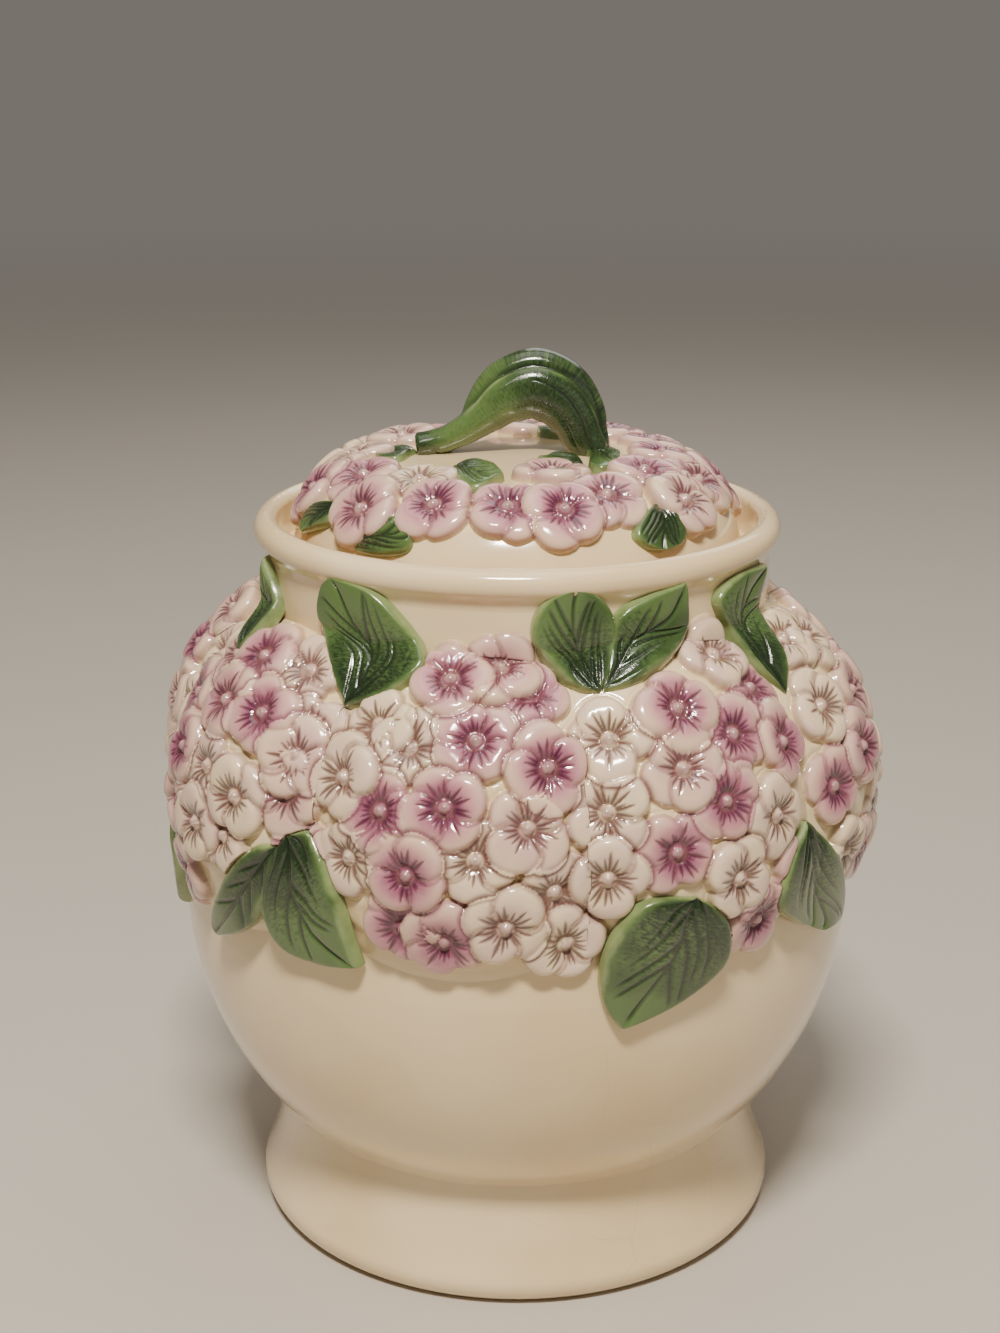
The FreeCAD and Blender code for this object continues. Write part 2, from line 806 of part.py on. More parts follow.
def floret_fits(centre, direction, bounds):
    """Whether a floret lies on the dome, between its bounds and clear of the leaves."""
    gap = size("relief_gap")
    span = size("floret_r") + gap
    under = rim_points(centre, direction, span, size("bloom_r"))
    for point in under:
        if math.hypot(point.x, point.y) < wall_radius(point.z) + gap:
            return False
    top = rim_points(centre, direction, span, size("bloom_r") + size("floret_thick"))
    middle = (bounds[0] + bounds[1]) / 2
    half = (bounds[1] - bounds[0]) / 2
    for point in top:
        turn = (bearing(point) - middle + 180) % 360 - 180
        if abs(turn) > half:
            return False
    spot = centre + direction * (size("bloom_r") + size("floret_thick") / 2)
    return clear_of(spot, span, jar_leaves)


def dome_spots(index):
    """Directions of the florets of one flower head: rows of a triangular net."""
    pitch = size("floret_pitch") / size("bloom_r")
    ahead = outward(number(turns[index]))
    side = UP.cross(ahead)
    tilt = math.radians(size("bloom_tilt"))
    pole = ahead * math.cos(tilt) + UP * math.sin(tilt)
    climb = pole.cross(side)
    spots = []
    for row in range(-3, 4):
        for column in range(-3, 4):
            x = pitch * (column + 0.5 * (row % 2))
            y = pitch * row * math.sqrt(3) / 2
            away = math.hypot(x, y)
            if away < 1e-6:
                spots.append(pole)
                continue
            lean = (side * x + climb * y) * (1 / away)
            spots.append(pole * math.cos(away) + lean * math.sin(away))
    return spots


def group(label, shapes):
    """Sub-part that holds several separate solids."""
    item = doc.addObject("Part::Feature", label)
    item.Shape = Part.makeCompound(shapes)
    return keep(item, label)


def bloom_florets(index, floret):
    """Florets of one flower head."""
    ahead = outward(number(turns[index]))
    centre = ahead * place("bloom_x") + UP * place("bloom_z")
    bounds = bloom_bounds(index)
    copies = []
    for count, direction in enumerate(dome_spots(index)):
        if not floret_fits(centre, direction, bounds):
            continue
        copy = floret.copy()
        copy.Placement = FreeCAD.Placement(centre, facing(direction, SPIN * count % 90))
        copies.append(copy)
    return group("florets_%d" % (index + 1), copies)


def lid_ring(blank, angle, turn_names):
    """Florets at one angle up the lid, on both halves, where nothing else stands."""
    span = size("floret_r") + size("relief_gap")
    others = lid_leaves + [lid_handle]
    copies = []
    for count, name in enumerate(turn_names):
        turn = size(name)
        start, normal = lid_spot(turn, angle, -size("lid_thick"))
        prism = blank.copy()
        prism.Placement = FreeCAD.Placement(start, facing(normal, SPIN * count % 90))
        bead = Part.makeSphere(size("bead_r"), lid_spot(turn, angle, size("lid_relief"))[0])
        made = prism.common(lid_skin.Shape).fuse(bead)
        for half in (0, 180):
            spot, normal = lid_spot(turn + half, angle, size("lid_relief") / 2)
            if clear_of(spot, span, others):
                copies.append(made.rotated(Vector(), UP, half).Solids[0])
    return copies


floret = domed_floret()
for index in range(len(BLOOM_TURNS)):
    florets = bloom_florets(index, floret)
    opposite(florets, "florets_%d" % (index + len(BLOOM_TURNS) + 1))
lid_petals = petals("lid_floret_petals", "2 * sizes.lid_thick + sizes.lid_relief")
doc.recompute()
group(
    "lid_florets",
    lid_ring(lid_petals.Shape, size("lid_floret_angle"), list(numbered("lid_turn", LID_TURNS)))
    + lid_ring(
        lid_petals.Shape,
        size("lid_inner_angle"),
        list(numbered("lid_inner_turn", LID_INNER_TURNS)),
    ),
)
doc.recompute()


# Checks and export.


def check_all():
    """Stop before anything is written if an object failed."""
    for item in doc.Objects:
        if "Invalid" in item.State or "Error" in item.State:
            raise ValueError("%s is %s" % (item.Label, item.State))
    for item in sub_parts:
        if item.Shape.isNull() or not item.Shape.isValid() or not item.Shape.Solids:
            raise ValueError("%s has no valid solid" % item.Label)


check_all()
os.makedirs("parts", exist_ok=True)
for item in sub_parts:
    item.Shape.exportStep(os.path.join("parts", item.Label + ".step"))
    print(item.Label, len(item.Shape.Solids), round(item.Shape.Volume))
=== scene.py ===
import math

import bpy
import numpy as np
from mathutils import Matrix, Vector


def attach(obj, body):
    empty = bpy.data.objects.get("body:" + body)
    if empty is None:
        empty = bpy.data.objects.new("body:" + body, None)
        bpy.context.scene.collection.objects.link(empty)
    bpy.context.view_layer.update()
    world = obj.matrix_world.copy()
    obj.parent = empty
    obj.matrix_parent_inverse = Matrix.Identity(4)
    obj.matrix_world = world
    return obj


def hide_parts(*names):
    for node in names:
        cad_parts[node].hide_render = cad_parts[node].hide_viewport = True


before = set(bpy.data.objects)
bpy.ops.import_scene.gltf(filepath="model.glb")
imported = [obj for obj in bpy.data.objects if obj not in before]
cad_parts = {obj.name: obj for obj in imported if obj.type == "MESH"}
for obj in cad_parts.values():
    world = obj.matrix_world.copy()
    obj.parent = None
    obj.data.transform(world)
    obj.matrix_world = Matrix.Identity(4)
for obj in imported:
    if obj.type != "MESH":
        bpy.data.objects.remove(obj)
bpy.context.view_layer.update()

# Biscuit jar with a drop-in lid: cream glaze, painted flower heads and leaves in relief.
# Shapes are worked out in millimetres and made in metres.
# Bearings are radians about +Z, 0 at the front (-Y) and growing towards +X.

MM = 0.001

# Camera, from a fit of the photograph's outlines.
IMAGE_SIZE = (1000.0, 1333.0)
FOCAL_PX = 2112.0
CAMERA_BACK = 625.9
CAMERA_HIGH = 369.3
CAMERA_PITCH = 0.3023
AXIS_PX = 517.3
SENSOR = 36.0
CLIP_END = 20.0  # metres
RAY_NEAR, RAY_FAR, RAY_STEP = 380.0, 760.0, 0.2

# The jar's wall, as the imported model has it.
BELLY_R = 104.0
BELLY_Z = 108.02
SHOULDER_R = 145.0
NECK_R = 76.5
NECK_BLEND = 20.0
NECK_Z = 199.2
BLOOM_R = 62.0
BLOOM_X = 48.0
BLOOM_Z = 145.02
BLOOM_TURNS = [-54.0, -10.0, 31.0, 74.0]
BLEND_SOFT = 3.0
LEAF_SOFT = 14.0
MEAN_R = 92.0  # bearings times this give distances over the jar

# The lid's outside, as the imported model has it.
LID_Z = 213.3
LID_ROUND = 27.5
LID_RING_R = 40.3
LID_CROWN = 1.4
LID_MEAN_R = 56.0  # the same for the lid

# The relief as the view meets it: its height, and the levels of the jar that count.
RELIEF_HIGH = 2.0
SEEN_LOW, SEEN_HIGH = 60.0, 226.0

# Florets: the petals' middles, half lengths and half widths, heights at the rim and in
# the dished middle, how far some lie over others, and the carved strokes.
PETAL_OUT = 6.2
PETAL_LONG = 6.2
PETAL_WIDE = 7.3
FLORET_HIGH = 2.4
FLORET_LOW = 0.9
LIFT = 1.5
PETAL_LIFT = 0.45
BEAD_R = 1.65
STREAKS = 20
STREAK_LONG = (5.2, 9.0)
STREAK_WIDE = 0.76
STREAK_DEEP = 0.4
FLORET_REACH = 15.5
JOINT_WIDE = 0.95
JOINT_DEEP = 0.6

# Florets where the view doesn't reach: least distance between centres, and where to try.
FILL_GAP = 16.5
FILL_LEVELS = np.arange(122.0, 200.0, 3.0)
FILL_TURNS = np.arange(math.radians(-80.0), math.radians(100.0), math.radians(2.0))
LID_FILL_GAP = 18.0
LID_FILL_RUNS = (21.0, 40.0)
LID_FILL_TURNS = np.arange(-math.pi, math.pi, math.radians(3.0))
LID_SEEN_TURN = math.radians(75)

# Relief grids: step, steps of the front to one of the back, and how far the edges tuck in.
GRID = 0.36
STRIDE = 6
TUCK = 0.5
BACK_DEEP = 1.2
HEAD_LOW, HEAD_HIGH, HEAD_MEAN_R = 110.0, 208.0, 108.0
HEAD_BACK_DEEP = 1.5
HEAD_REACH = 22.0
LID_LOW, LID_HIGH, LID_GRID_R = 3.0, 58.0, 60.0

# Leaves: thickness, grid, side veins to each side and how high petals stand under them.
JAR_LEAF_THICK = 3.0
LID_LEAF_THICK = 2.4
HANDLE_LEAF_THICK = 1.8
LEAF_ROWS, LEAF_COLUMNS = 91, 61
SIDE_VEINS = 4
UNDER_LEAF = 1.0
LEAVES_PER_HALF = 5

# Seeds of the variations.
FILL_SEED, LID_FILL_SEED, HANDLE_SEED = 4, 9, 21
FLORET_SEED, LID_FLORET_SEED = 100, 300
LID_LEAF_SEED, HANDLE_LEAF_SEED = 40, 60

# Handle: grid, side veins and stations: X and Z of the centre line, half its thickness in
# the arch's plane, half its depth, and how far the rear fold shows behind the front one.
HANDLE_ROWS, HANDLE_COLUMNS = 150, 120
HANDLE_VEINS = 15
HANDLE_STATIONS = [
    (-30.2, 243.7, 3.0, 3.4, 0.0),
    (-29.6, 243.8, 3.8, 4.3, 0.0),
    (-25.0, 244.6, 3.9, 4.6, 0.0),
    (-20.0, 246.3, 4.1, 5.0, 0.1),
    (-14.4, 249.9, 5.2, 5.7, 0.45),
    (-9.6, 254.4, 7.2, 6.6, 0.9),
    (-3.5, 259.6, 9.4, 7.2, 1.0),
    (5.0, 262.4, 10.4, 7.3, 1.0),
    (12.8, 259.4, 10.2, 7.1, 1.0),
    (18.0, 253.4, 8.9, 6.8, 0.9),
    (20.4, 247.6, 7.7, 6.6, 0.75),
    (22.3, 243.0, 6.8, 6.6, 0.6),
    (23.2, 238.0, 6.2, 6.2, 0.6),
]

# Floret centres read from the photograph, in its pixels, with the depth of their mauve.
HEAD_PIXELS = [
    (306, 674, 0.25), (260, 717, 0.95), (306, 739, 0.3), (295, 761, 0.35),
    (286, 796, 0.4), (233, 799, 0.15), (219, 837, 0.15), (204, 768, 0.2),
    (224, 703, 0.6), (262, 660, 0.7), (235, 656, 0.45), (195, 823, 0.2),
    (451, 685, 0.75), (500, 673, 0.55), (530, 698, 0.85), (377, 729, 0.06),
    (409, 751, 0.06), (476, 745, 0.85), (548, 772, 0.85), (344, 781, 0.08),
    (380, 814, 0.9), (445, 811, 0.95), (528, 832, 0.35), (476, 863, 0.1),
    (348, 860, 0.1), (407, 877, 1.0), (556, 894, 0.08), (402, 929, 0.9),
    (445, 943, 0.95), (506, 928, 0.2), (566, 943, 0.05), (612, 744, 0.12),
    (680, 713, 0.75), (610, 815, 0.12), (687, 772, 0.4), (737, 736, 0.8),
    (754, 690, 0.7), (716, 659, 0.25), (730, 803, 0.85), (681, 854, 0.9),
    (784, 744, 0.75), (780, 816, 0.15), (742, 878, 0.1), (611, 880, 0.06),
    (825, 707, 0.1), (788, 640, 0.08), (838, 786, 0.9), (856, 690, 0.5),
    (863, 746, 0.7), (812, 637, 0.1), (848, 848, 0.1),
]
LID_PIXELS = [
    (433, 503, 0.75), (508, 505, 0.8), (360, 509, 0.6), (362, 471, 0.65),
    (419, 475, 0.1), (354, 452, 0.3), (403, 435, 0.35), (565, 509, 0.95),
    (608, 492, 0.6), (552, 471, 0.5), (645, 467, 0.7), (686, 499, 0.4),
    (653, 438, 0.6), (701, 476, 0.5), (524, 425, 0.6),
]

# Leaf outlines read from the photograph: one side from the base to the tip, and the other
# between them.
SHOULDER_LEAF_PIXELS = {
    2: ([(345, 711), (331, 672), (320, 620), (321, 588), (332, 576)],
        [(388, 699), (424, 674), (429, 655), (405, 622), (372, 590)]),
    3: ([(602, 694), (577, 690), (549, 668), (531, 640), (537, 611), (558, 594), (577, 590)],
        [(613, 662), (618, 634), (613, 610), (596, 593)]),
    4: ([(604, 694), (606, 652), (618, 614), (648, 595), (686, 579)],
        [(636, 687), (670, 662), (687, 634), (689, 603)]),
    5: ([(791, 696), (752, 665), (724, 624), (717, 597), (739, 573), (765, 562)],
        [(790, 664), (768, 634), (759, 600)]),
}
BELLY_LEAF_PIXELS = {
    2: ([(279, 846), (254, 847), (233, 865), (222, 890), (221, 915), (227, 934)],
        [(278, 881), (267, 915), (250, 931)]),
    3: ([(285, 836), (269, 866), (266, 905), (286, 944), (322, 964), (366, 965)],
        [(312, 832), (327, 860), (341, 897), (353, 930)]),
    4: ([(700, 897), (664, 898), (637, 906), (608, 940), (600, 978), (607, 1010), (622, 1029)],
        [(723, 909), (730, 927), (722, 957), (691, 992), (656, 1015)]),
    5: ([(808, 819), (789, 858), (776, 901), (789, 918), (818, 927)],
        [(826, 838), (838, 872), (837, 911)]),
}
LID_LEAF_PIXELS = {
    1: ([(340, 500), (322, 500), (308, 508), (300, 524), (302, 534)],
        [(338, 512), (326, 525)]),
    2: ([(353, 538), (370, 519), (392, 514), (411, 517)],
        [(353, 551), (380, 557), (406, 552), (412, 535)]),
    3: ([(657, 497), (640, 517), (635, 535), (650, 548), (664, 551)],
        [(676, 511), (689, 527), (685, 543)]),
    4: ([(453, 466), (473, 462), (494, 465), (505, 475)],
        [(462, 482), (480, 488)]),
    5: ([(583, 451), (598, 447), (611, 449), (619, 460)],
        [(588, 463), (602, 469)]),
}
HANDLE_LEAF_PIXELS = [
    ([(585, 466), (570, 456), (552, 455), (537, 460)],
     [(566, 470), (548, 468)]),
    ([(418, 449), (400, 444), (382, 445), (368, 449)],
     [(402, 456), (384, 456)]),
]

# Leaves that the view doesn't show whole: bearing and height of the middle, length,
# width and lean of the tip from straight up, in degrees.
SHOULDER_LEAF_HIDDEN = {1: (-67.0, 203.0, 29.0, 17.0, -22.0)}
BELLY_LEAF_HIDDEN = {1: (-76.0, 121.0, 30.0, 19.0, 174.0)}


# Colours and light.


def colour(red, green, blue):
    """Linear colour from the usual 0 to 255 values."""
    values = []
    for value in (red, green, blue):
        share = value / 255
        values.append(share / 12.92 if share <= 0.04045 else ((share + 0.055) / 1.055) ** 2.4)
    return (*values, 1.0)


CREAM = colour(236, 214, 172)
CREAM_WARM = colour(226, 199, 152)
CRAZE = colour(176, 142, 98)
PALE_PETAL = colour(220, 192, 172)
PINK = colour(192, 128, 140)
MAUVE = colour(132, 64, 98)
PLUM = colour(66, 18, 44)
BROWN = colour(80, 52, 48)
# Pooled glaze and painted shade in the hollows between petals and florets.
POOLED_GLAZE_AND_SHADE = colour(142, 98, 80)
JOINT = colour(104, 66, 60)
LEAF_DARK = colour(30, 46, 24)
LEAF_MID = colour(58, 80, 40)
LEAF_LIGHT = colour(92, 118, 64)
LEAF_EDGE = colour(132, 148, 96)
VEIN = colour(18, 30, 14)
FLOOR = colour(186, 178, 167)
FLOOR_PALE = colour(193, 186, 176)
SKY = colour(236, 228, 216)
SKY_STRENGTH = 0.22

# The floor, in metres: half its side, and where it fades into the background.
FLOOR_SIDE = 40.0
FLOOR_NEAR = 0.5
FLOOR_FAR = 3.5

# Lights, in metres and watts: name, place, size, power and tint.
LIGHT_AIM = (0, 0, 0.14)
LIGHTS = [
    ("key", (-0.06, -0.82, 1.42), (0.34, 0.14), 36.0, (1.0, 0.93, 0.83)),
    ("top", (0.0, 0.0, 1.7), (1.2, 1.0), 7.0, (1.0, 0.95, 0.88)),
    ("fill", (1.1, -0.9, 0.8), (0.9, 0.9), 0.8, (1.0, 0.97, 0.93)),
    ("back", (0.3, 1.2, 1.1), (0.9, 0.6), 3.0, (1.0, 0.98, 0.95)),
]

# Camera.


def add_object(name, data):
    """New object in the scene."""
    piece = bpy.data.objects.new(name, data)
    bpy.context.scene.collection.objects.link(piece)
    return piece


def make_camera():
    """Camera that sees the jar as the photograph does."""
    data = bpy.data.cameras.new("camera")
    data.sensor_fit = "VERTICAL"
    data.sensor_height = SENSOR
    data.lens = FOCAL_PX * SENSOR / IMAGE_SIZE[1]
    data.clip_end = CLIP_END
    camera = add_object("camera", data)
    camera.location = (0, -CAMERA_BACK * MM, CAMERA_HIGH * MM)
    yaw = math.atan((AXIS_PX - IMAGE_SIZE[0] / 2) / FOCAL_PX)
    camera.rotation_euler = (math.pi / 2 - CAMERA_PITCH, 0, yaw)
    bpy.context.scene.camera = camera


def pixel_hit(px, py, outside):
    """Where the ray through a pixel first meets a surface, or comes nearest to it.

    outside(points) is the distance outside the surface, negative inside.
    """
    side = (px - AXIS_PX) / FOCAL_PX
    climb = (IMAGE_SIZE[1] / 2 - py) / FOCAL_PX
    cos, sin = math.cos(CAMERA_PITCH), math.sin(CAMERA_PITCH)
    ray = np.array([side, cos + climb * sin, climb * cos - sin])
    steps = np.arange(RAY_NEAR, RAY_FAR, RAY_STEP)[:, None]
    points = np.array([0.0, -CAMERA_BACK, CAMERA_HIGH]) + steps * (ray / np.linalg.norm(ray))
    away = outside(points)
    inside = np.nonzero(away <= 0)[0]
    return points[inside[0] if len(inside) else np.argmin(away)]


# Surfaces.


def wall_radius(z):
    """Outside radius of the jar's wall at a height."""
    back = SHOULDER_R - BELLY_R
    rise = z - BELLY_Z
    belly = np.sqrt(np.maximum(BELLY_R**2 - rise**2, 0))
    shoulder = np.sqrt(np.maximum(SHOULDER_R**2 - rise**2, 0)) - back
    hollow = NECK_R + NECK_BLEND - np.sqrt(np.maximum(NECK_BLEND**2 - (z - NECK_Z) ** 2, 0))
    reach = SHOULDER_R + NECK_BLEND
    join = NECK_Z - NECK_BLEND * (NECK_Z - BELLY_Z) / reach
    radius = np.where(rise < 0, belly, shoulder)
    radius = np.where(z > join, hollow, radius)
    return np.where(z > NECK_Z, NECK_R, radius)


def soft_max(a, b, soft):
    """Larger of two, with a rounded inside corner."""
    blend = np.clip(0.5 + 0.5 * (a - b) / soft, 0, 1)
    return b + (a - b) * blend + soft * blend * (1 - blend)


def all_turns():
    """Bearing of every flower head in radians, in order round the jar."""
    half = np.radians(BLOOM_TURNS)
    return np.concatenate([half, half + math.pi])


def bloom_radius(turn, z, centre):
    """Radius of one flower head's dome, far inside where it doesn't reach."""
    away = turn - centre
    level = BLOOM_R**2 - (z - BLOOM_Z) ** 2 - (BLOOM_X * np.sin(away)) ** 2
    dome = BLOOM_X * np.cos(away) + np.sqrt(np.maximum(level, 0))
    return np.where((level > 0) & (np.cos(away) > 0), dome, 0)


def relief_radius(turn, z, soft=BLEND_SOFT):
    """Radius of the wall with the domes on it."""
    domes = np.zeros(np.broadcast(turn, z).shape)
    for centre in all_turns():
        domes = np.maximum(domes, bloom_radius(turn, z, centre))
    return soft_max(wall_radius(z), domes, soft)


def polar(turn, radius, z):
    """Point at a bearing, a radius and a height."""
    return np.stack([radius * np.sin(turn), -radius * np.cos(turn), z + 0 * turn], axis=-1)


def relief_point(turn, z):
    """Point of the wall with the domes on it."""
    return polar(turn, relief_radius(turn, z), z)


def surface_normal(point_at, a, b, step_a=0.002, step_b=0.2):
    """Outward normals of a surface by small steps along its two parameters."""
    along_a = point_at(a + step_a, b) - point_at(a - step_a, b)
    along_b = point_at(a, b + step_b) - point_at(a, b - step_b)
    normal = np.cross(along_a, along_b)
    return normal / np.linalg.norm(normal, axis=-1, keepdims=True)


def relief_normal(turn, z):
    return surface_normal(relief_point, turn, z)


def eased_point(turn, z):
    """Point of the surface that leaves lie on, which bridges the sharper hollows."""
    return polar(turn, relief_radius(turn, z, LEAF_SOFT), z)


def eased_normal(turn, z):
    return surface_normal(eased_point, turn, z, 0.02, 2.0)


def outside_relief(points):
    """Distance outside the jar's relief; nothing counts below the belly or over the rim."""
    turn = np.arctan2(points[:, 0], -points[:, 1])
    radius = np.hypot(points[:, 0], points[:, 1])
    away = radius - relief_radius(turn, points[:, 2]) - RELIEF_HIGH
    return np.where((points[:, 2] < SEEN_LOW) | (points[:, 2] > SEEN_HIGH), 1e3, away)


def lid_profile(run):
    """Radius and height of the lid's outside at a distance along it from its edge."""
    arc = LID_ROUND * math.pi / 2
    angle = np.clip(run, 0, arc) / LID_ROUND
    over = np.maximum(run - arc, 0)
    radius = LID_RING_R + LID_ROUND * np.cos(angle) - over
    crown = LID_CROWN * (1 - (np.minimum(radius, LID_RING_R) / LID_RING_R) ** 2)
    return radius, LID_Z + LID_ROUND * np.sin(angle) + crown


def lid_point(turn, run):
    radius, z = lid_profile(run)
    return polar(turn, radius, z)


def lid_normal(turn, run):
    return surface_normal(lid_point, turn, run)


def outside_lid(points):
    """Height above the lid's outside, with the relief's thickness."""
    radius = np.hypot(points[:, 0], points[:, 1])
    high = LID_ROUND + RELIEF_HIGH
    out = np.clip((radius - LID_RING_R) / high, 0, 1)
    top = LID_Z + high * np.sqrt(1 - out**2)
    top = np.where(radius > LID_RING_R + high, -1e3, top)
    return points[:, 2] - top


def lid_run(point):
    """Distance along the lid's profile of the surface point nearest to a point."""
    runs = np.arange(0, LID_ROUND * math.pi / 2 + LID_RING_R, 0.1)
    radius, z = lid_profile(runs)
    return runs[np.argmin(np.hypot(radius - math.hypot(point[0], point[1]), z - point[2]))]


# Florets.


class Floret:
    """One four-petalled floret: its place, the axes of its plane and its own variations."""

    def __init__(self, place, normal, tint, seed):
        draw = np.random.default_rng(seed)
        self.place = place
        side = np.cross([0.0, 0.0, 1.0], normal)
        self.side = side / np.linalg.norm(side)
        self.climb = np.cross(normal, self.side)
        self.lean = draw.uniform(-0.07, 0.07, 2)
        self.spin = draw.uniform(0, 2 * math.pi)
        self.jitter = draw.uniform(-0.16, 0.16, 4)
        self.scale = draw.uniform(0.92, 1.06, 4)
        self.lift = LIFT * draw.uniform(0, 1)
        self.lengths = draw.uniform(*STREAK_LONG, STREAKS)
        self.offsets = draw.uniform(-0.3, 0.3, STREAKS)
        self.tint = tint
        self.tone = draw.uniform(0, 1)

    def local(self, points):
        """Distances over the curved surface from the middle, sideways and upwards."""
        away = points - self.place
        u = away @ self.side
        v = away @ self.climb
        flat = np.hypot(u, v)
        chord = np.linalg.norm(away, axis=-1)
        stretch = np.where(flat > 1e-6, chord / np.maximum(flat, 1e-6), 1)
        return u * stretch, v * stretch

    def shape(self, points):
        """Height over the surface, how far outside the petals, seam, streak and radius."""
        u, v = self.local(points)
        r = np.hypot(u, v)
        turn = np.arctan2(v, u) - self.spin
        dish = FLORET_LOW + (FLORET_HIGH - FLORET_LOW) * smooth(r / 8.5)
        dish = dish + self.lift + self.lean[0] * u + self.lean[1] * v
        height = np.zeros(r.shape)
        outside = np.full(r.shape, 9.0)
        seam = np.zeros(r.shape)
        for index in (0, 2, 1, 3):
            angle = turn - index * math.pi / 2 - self.jitter[index]
            along = r * np.cos(angle)
            across = r * np.sin(angle)
            size = self.scale[index]
            wave = 1 + 0.03 * np.sin(5 * angle + index + self.tone * 6)
            q = np.sqrt(
                ((along - PETAL_OUT * size) / (PETAL_LONG * size)) ** 2
                + (across / (PETAL_WIDE * size)) ** 2
            ) * wave
            off = (q - 1) * PETAL_LONG
            rise = PETAL_LIFT * (index % 2) * smooth(r / 5.0)
            petal = (dish + rise) * np.sqrt(np.clip(1 - np.clip(q, 0, 1) ** 5, 0, 1))
            groove = hump(off, 0.55) * (off > 0) * smooth((r - 2.0) / 1.5)
            over = np.maximum(petal, height * (off > -0.5))
            height = np.where(off < 0, over, height - 0.4 * groove)
            seam = np.where(off < 0, hump(off, 0.8), np.maximum(seam, groove))
            outside = np.minimum(outside, off)
        streak = self.streak(turn, r)
        height = height - STREAK_DEEP * streak - 0.4 * hump(r - 2.5, 0.7)
        inner = np.sqrt(np.clip(BEAD_R**2 - r**2, 0, None))
        bead = np.where(r < BEAD_R, FLORET_LOW * 0.6 + self.lift + inner, -1.0)
        return np.maximum(height, bead), outside, seam, streak, r

    def streak(self, turn, r):
        """Carved brush strokes that fan out of the middle, 0 to 1."""
        bins = np.mod(turn / (2 * math.pi) * STREAKS, STREAKS)
        index = np.minimum(bins.astype(int), STREAKS - 1)
        offset = (bins - index - 0.5 - self.offsets[index]) * 2 * math.pi / STREAKS * r
        length = self.lengths[index]
        width = STREAK_WIDE * np.clip((length - r) / 3.8, 0.05, 1)
        fade = smooth((r - 1.9) / 0.7) * (1 - smooth((r - length + 1.0) / 1.0))
        return hump(offset, width) * fade


def hump(x, width):
    """1 where x is 0, falling away to both sides over a width."""
    return np.exp(-((x / width) ** 2))


def smooth(x):
    """0 below 0, 1 above 1 and an even rise between."""
    x = np.clip(x, 0, 1)
    return x * x * (3 - 2 * x)


def soften(field, passes):
    """Average each value with its neighbours, as a thick glaze does."""
    for _ in range(passes):
        for axis in (0, 1):
            wide = np.concatenate([field.take([0], axis), field, field.take([-1], axis)], axis)
            size = field.shape[axis]
            before = wide.take(range(0, size), axis)
            after = wide.take(range(2, size + 2), axis)
            field = 0.25 * before + 0.5 * field + 0.25 * after
    return field


def flower_fields(points, florets, bed):
    """Height of the florets over a grid of points, and the paint at each point.

    The lower florets come first, and each later one lies over them with a dark joint.
    """
    shape = points.shape[:2]
    flat = points.reshape(-1, 3)
    height = bed.reshape(-1).copy()
    fields = {name: 0.0 * height for name in ("tint", "streak", "ring", "petal", "joint")}
    for floret in sorted(florets, key=lambda item: item.lift):
        near = np.nonzero(np.linalg.norm(flat - floret.place, axis=1) < FLORET_REACH)[0]
        if not len(near):
            continue
        own, outside, seam, streak, r = floret.shape(flat[near])
        ditch = hump(outside, JOINT_WIDE) * (outside > 0) * (height[near] > 0)
        height[near] -= JOINT_DEEP * ditch
        fields["joint"][near] = np.maximum(fields["joint"][near], ditch)
        wins = (outside < 0) & (own > height[near] - JOINT_DEEP)
        rows = near[wins]
        height[rows] = np.maximum(own[wins], height[rows] - JOINT_DEEP)
        paint = (floret.tint, streak[wins], r[wins] / 12.0, 1.0, 0.55 * seam[wins])
        for name, value in zip(fields, paint):
            fields[name][rows] = value
    height = height.reshape(shape)
    fields = {name: field.reshape(shape) for name, field in fields.items()}
    # Painted shade together with pooled glaze: where the surface lies below its softened
    # surroundings, in the hollows between petals and florets, the paint darkens.
    wide = soften(height, 14)
    fields["pooled_glaze_and_shade"] = np.clip((wide - height) / 1.1, 0, 1)
    fields["petal"] = soften(fields["petal"], 1)
    return soften(height, 1), fields


def head_florets(loops):
    """Florets of the whole jar: those read from the photograph, their copies on the
    other half, and more where the view doesn't reach and no leaf lies."""
    half = []
    for px, py, tint in HEAD_PIXELS:
        point = pixel_hit(px, py, outside_relief)
        half.append((math.atan2(point[0], -point[1]), point[2], tint))
    draw = np.random.default_rng(FILL_SEED)
    spots = [relief_point(turn, z) for turn, z, _ in half]
    for z in FILL_LEVELS:
        for turn in FILL_TURNS:
            point = relief_point(turn, z)
            proud = relief_radius(turn, z) - wall_radius(z)
            mirrored = point * np.array([-1, -1, 1])
            near = min(np.linalg.norm(p - spot) for spot in spots for p in (point, mirrored))
            if proud < 4.0 or near < FILL_GAP or in_leaf(loops, turn, z):
                continue
            spots.append(point)
            half.append((turn, z, draw.choice([0.08, 0.2, 0.4, 0.7, 0.9])))
    florets = []
    for index, (turn, z, tint) in enumerate(half):
        for bearing in (turn, turn + math.pi):
            place = relief_point(bearing, z)
            florets.append(Floret(place, relief_normal(bearing, z), tint, FLORET_SEED + index))
    return florets


# Leaves.


def spline_run(points):
    """Distance along a row of points."""
    return np.concatenate([[0], np.cumsum(np.linalg.norm(np.diff(points, axis=0), axis=1))])


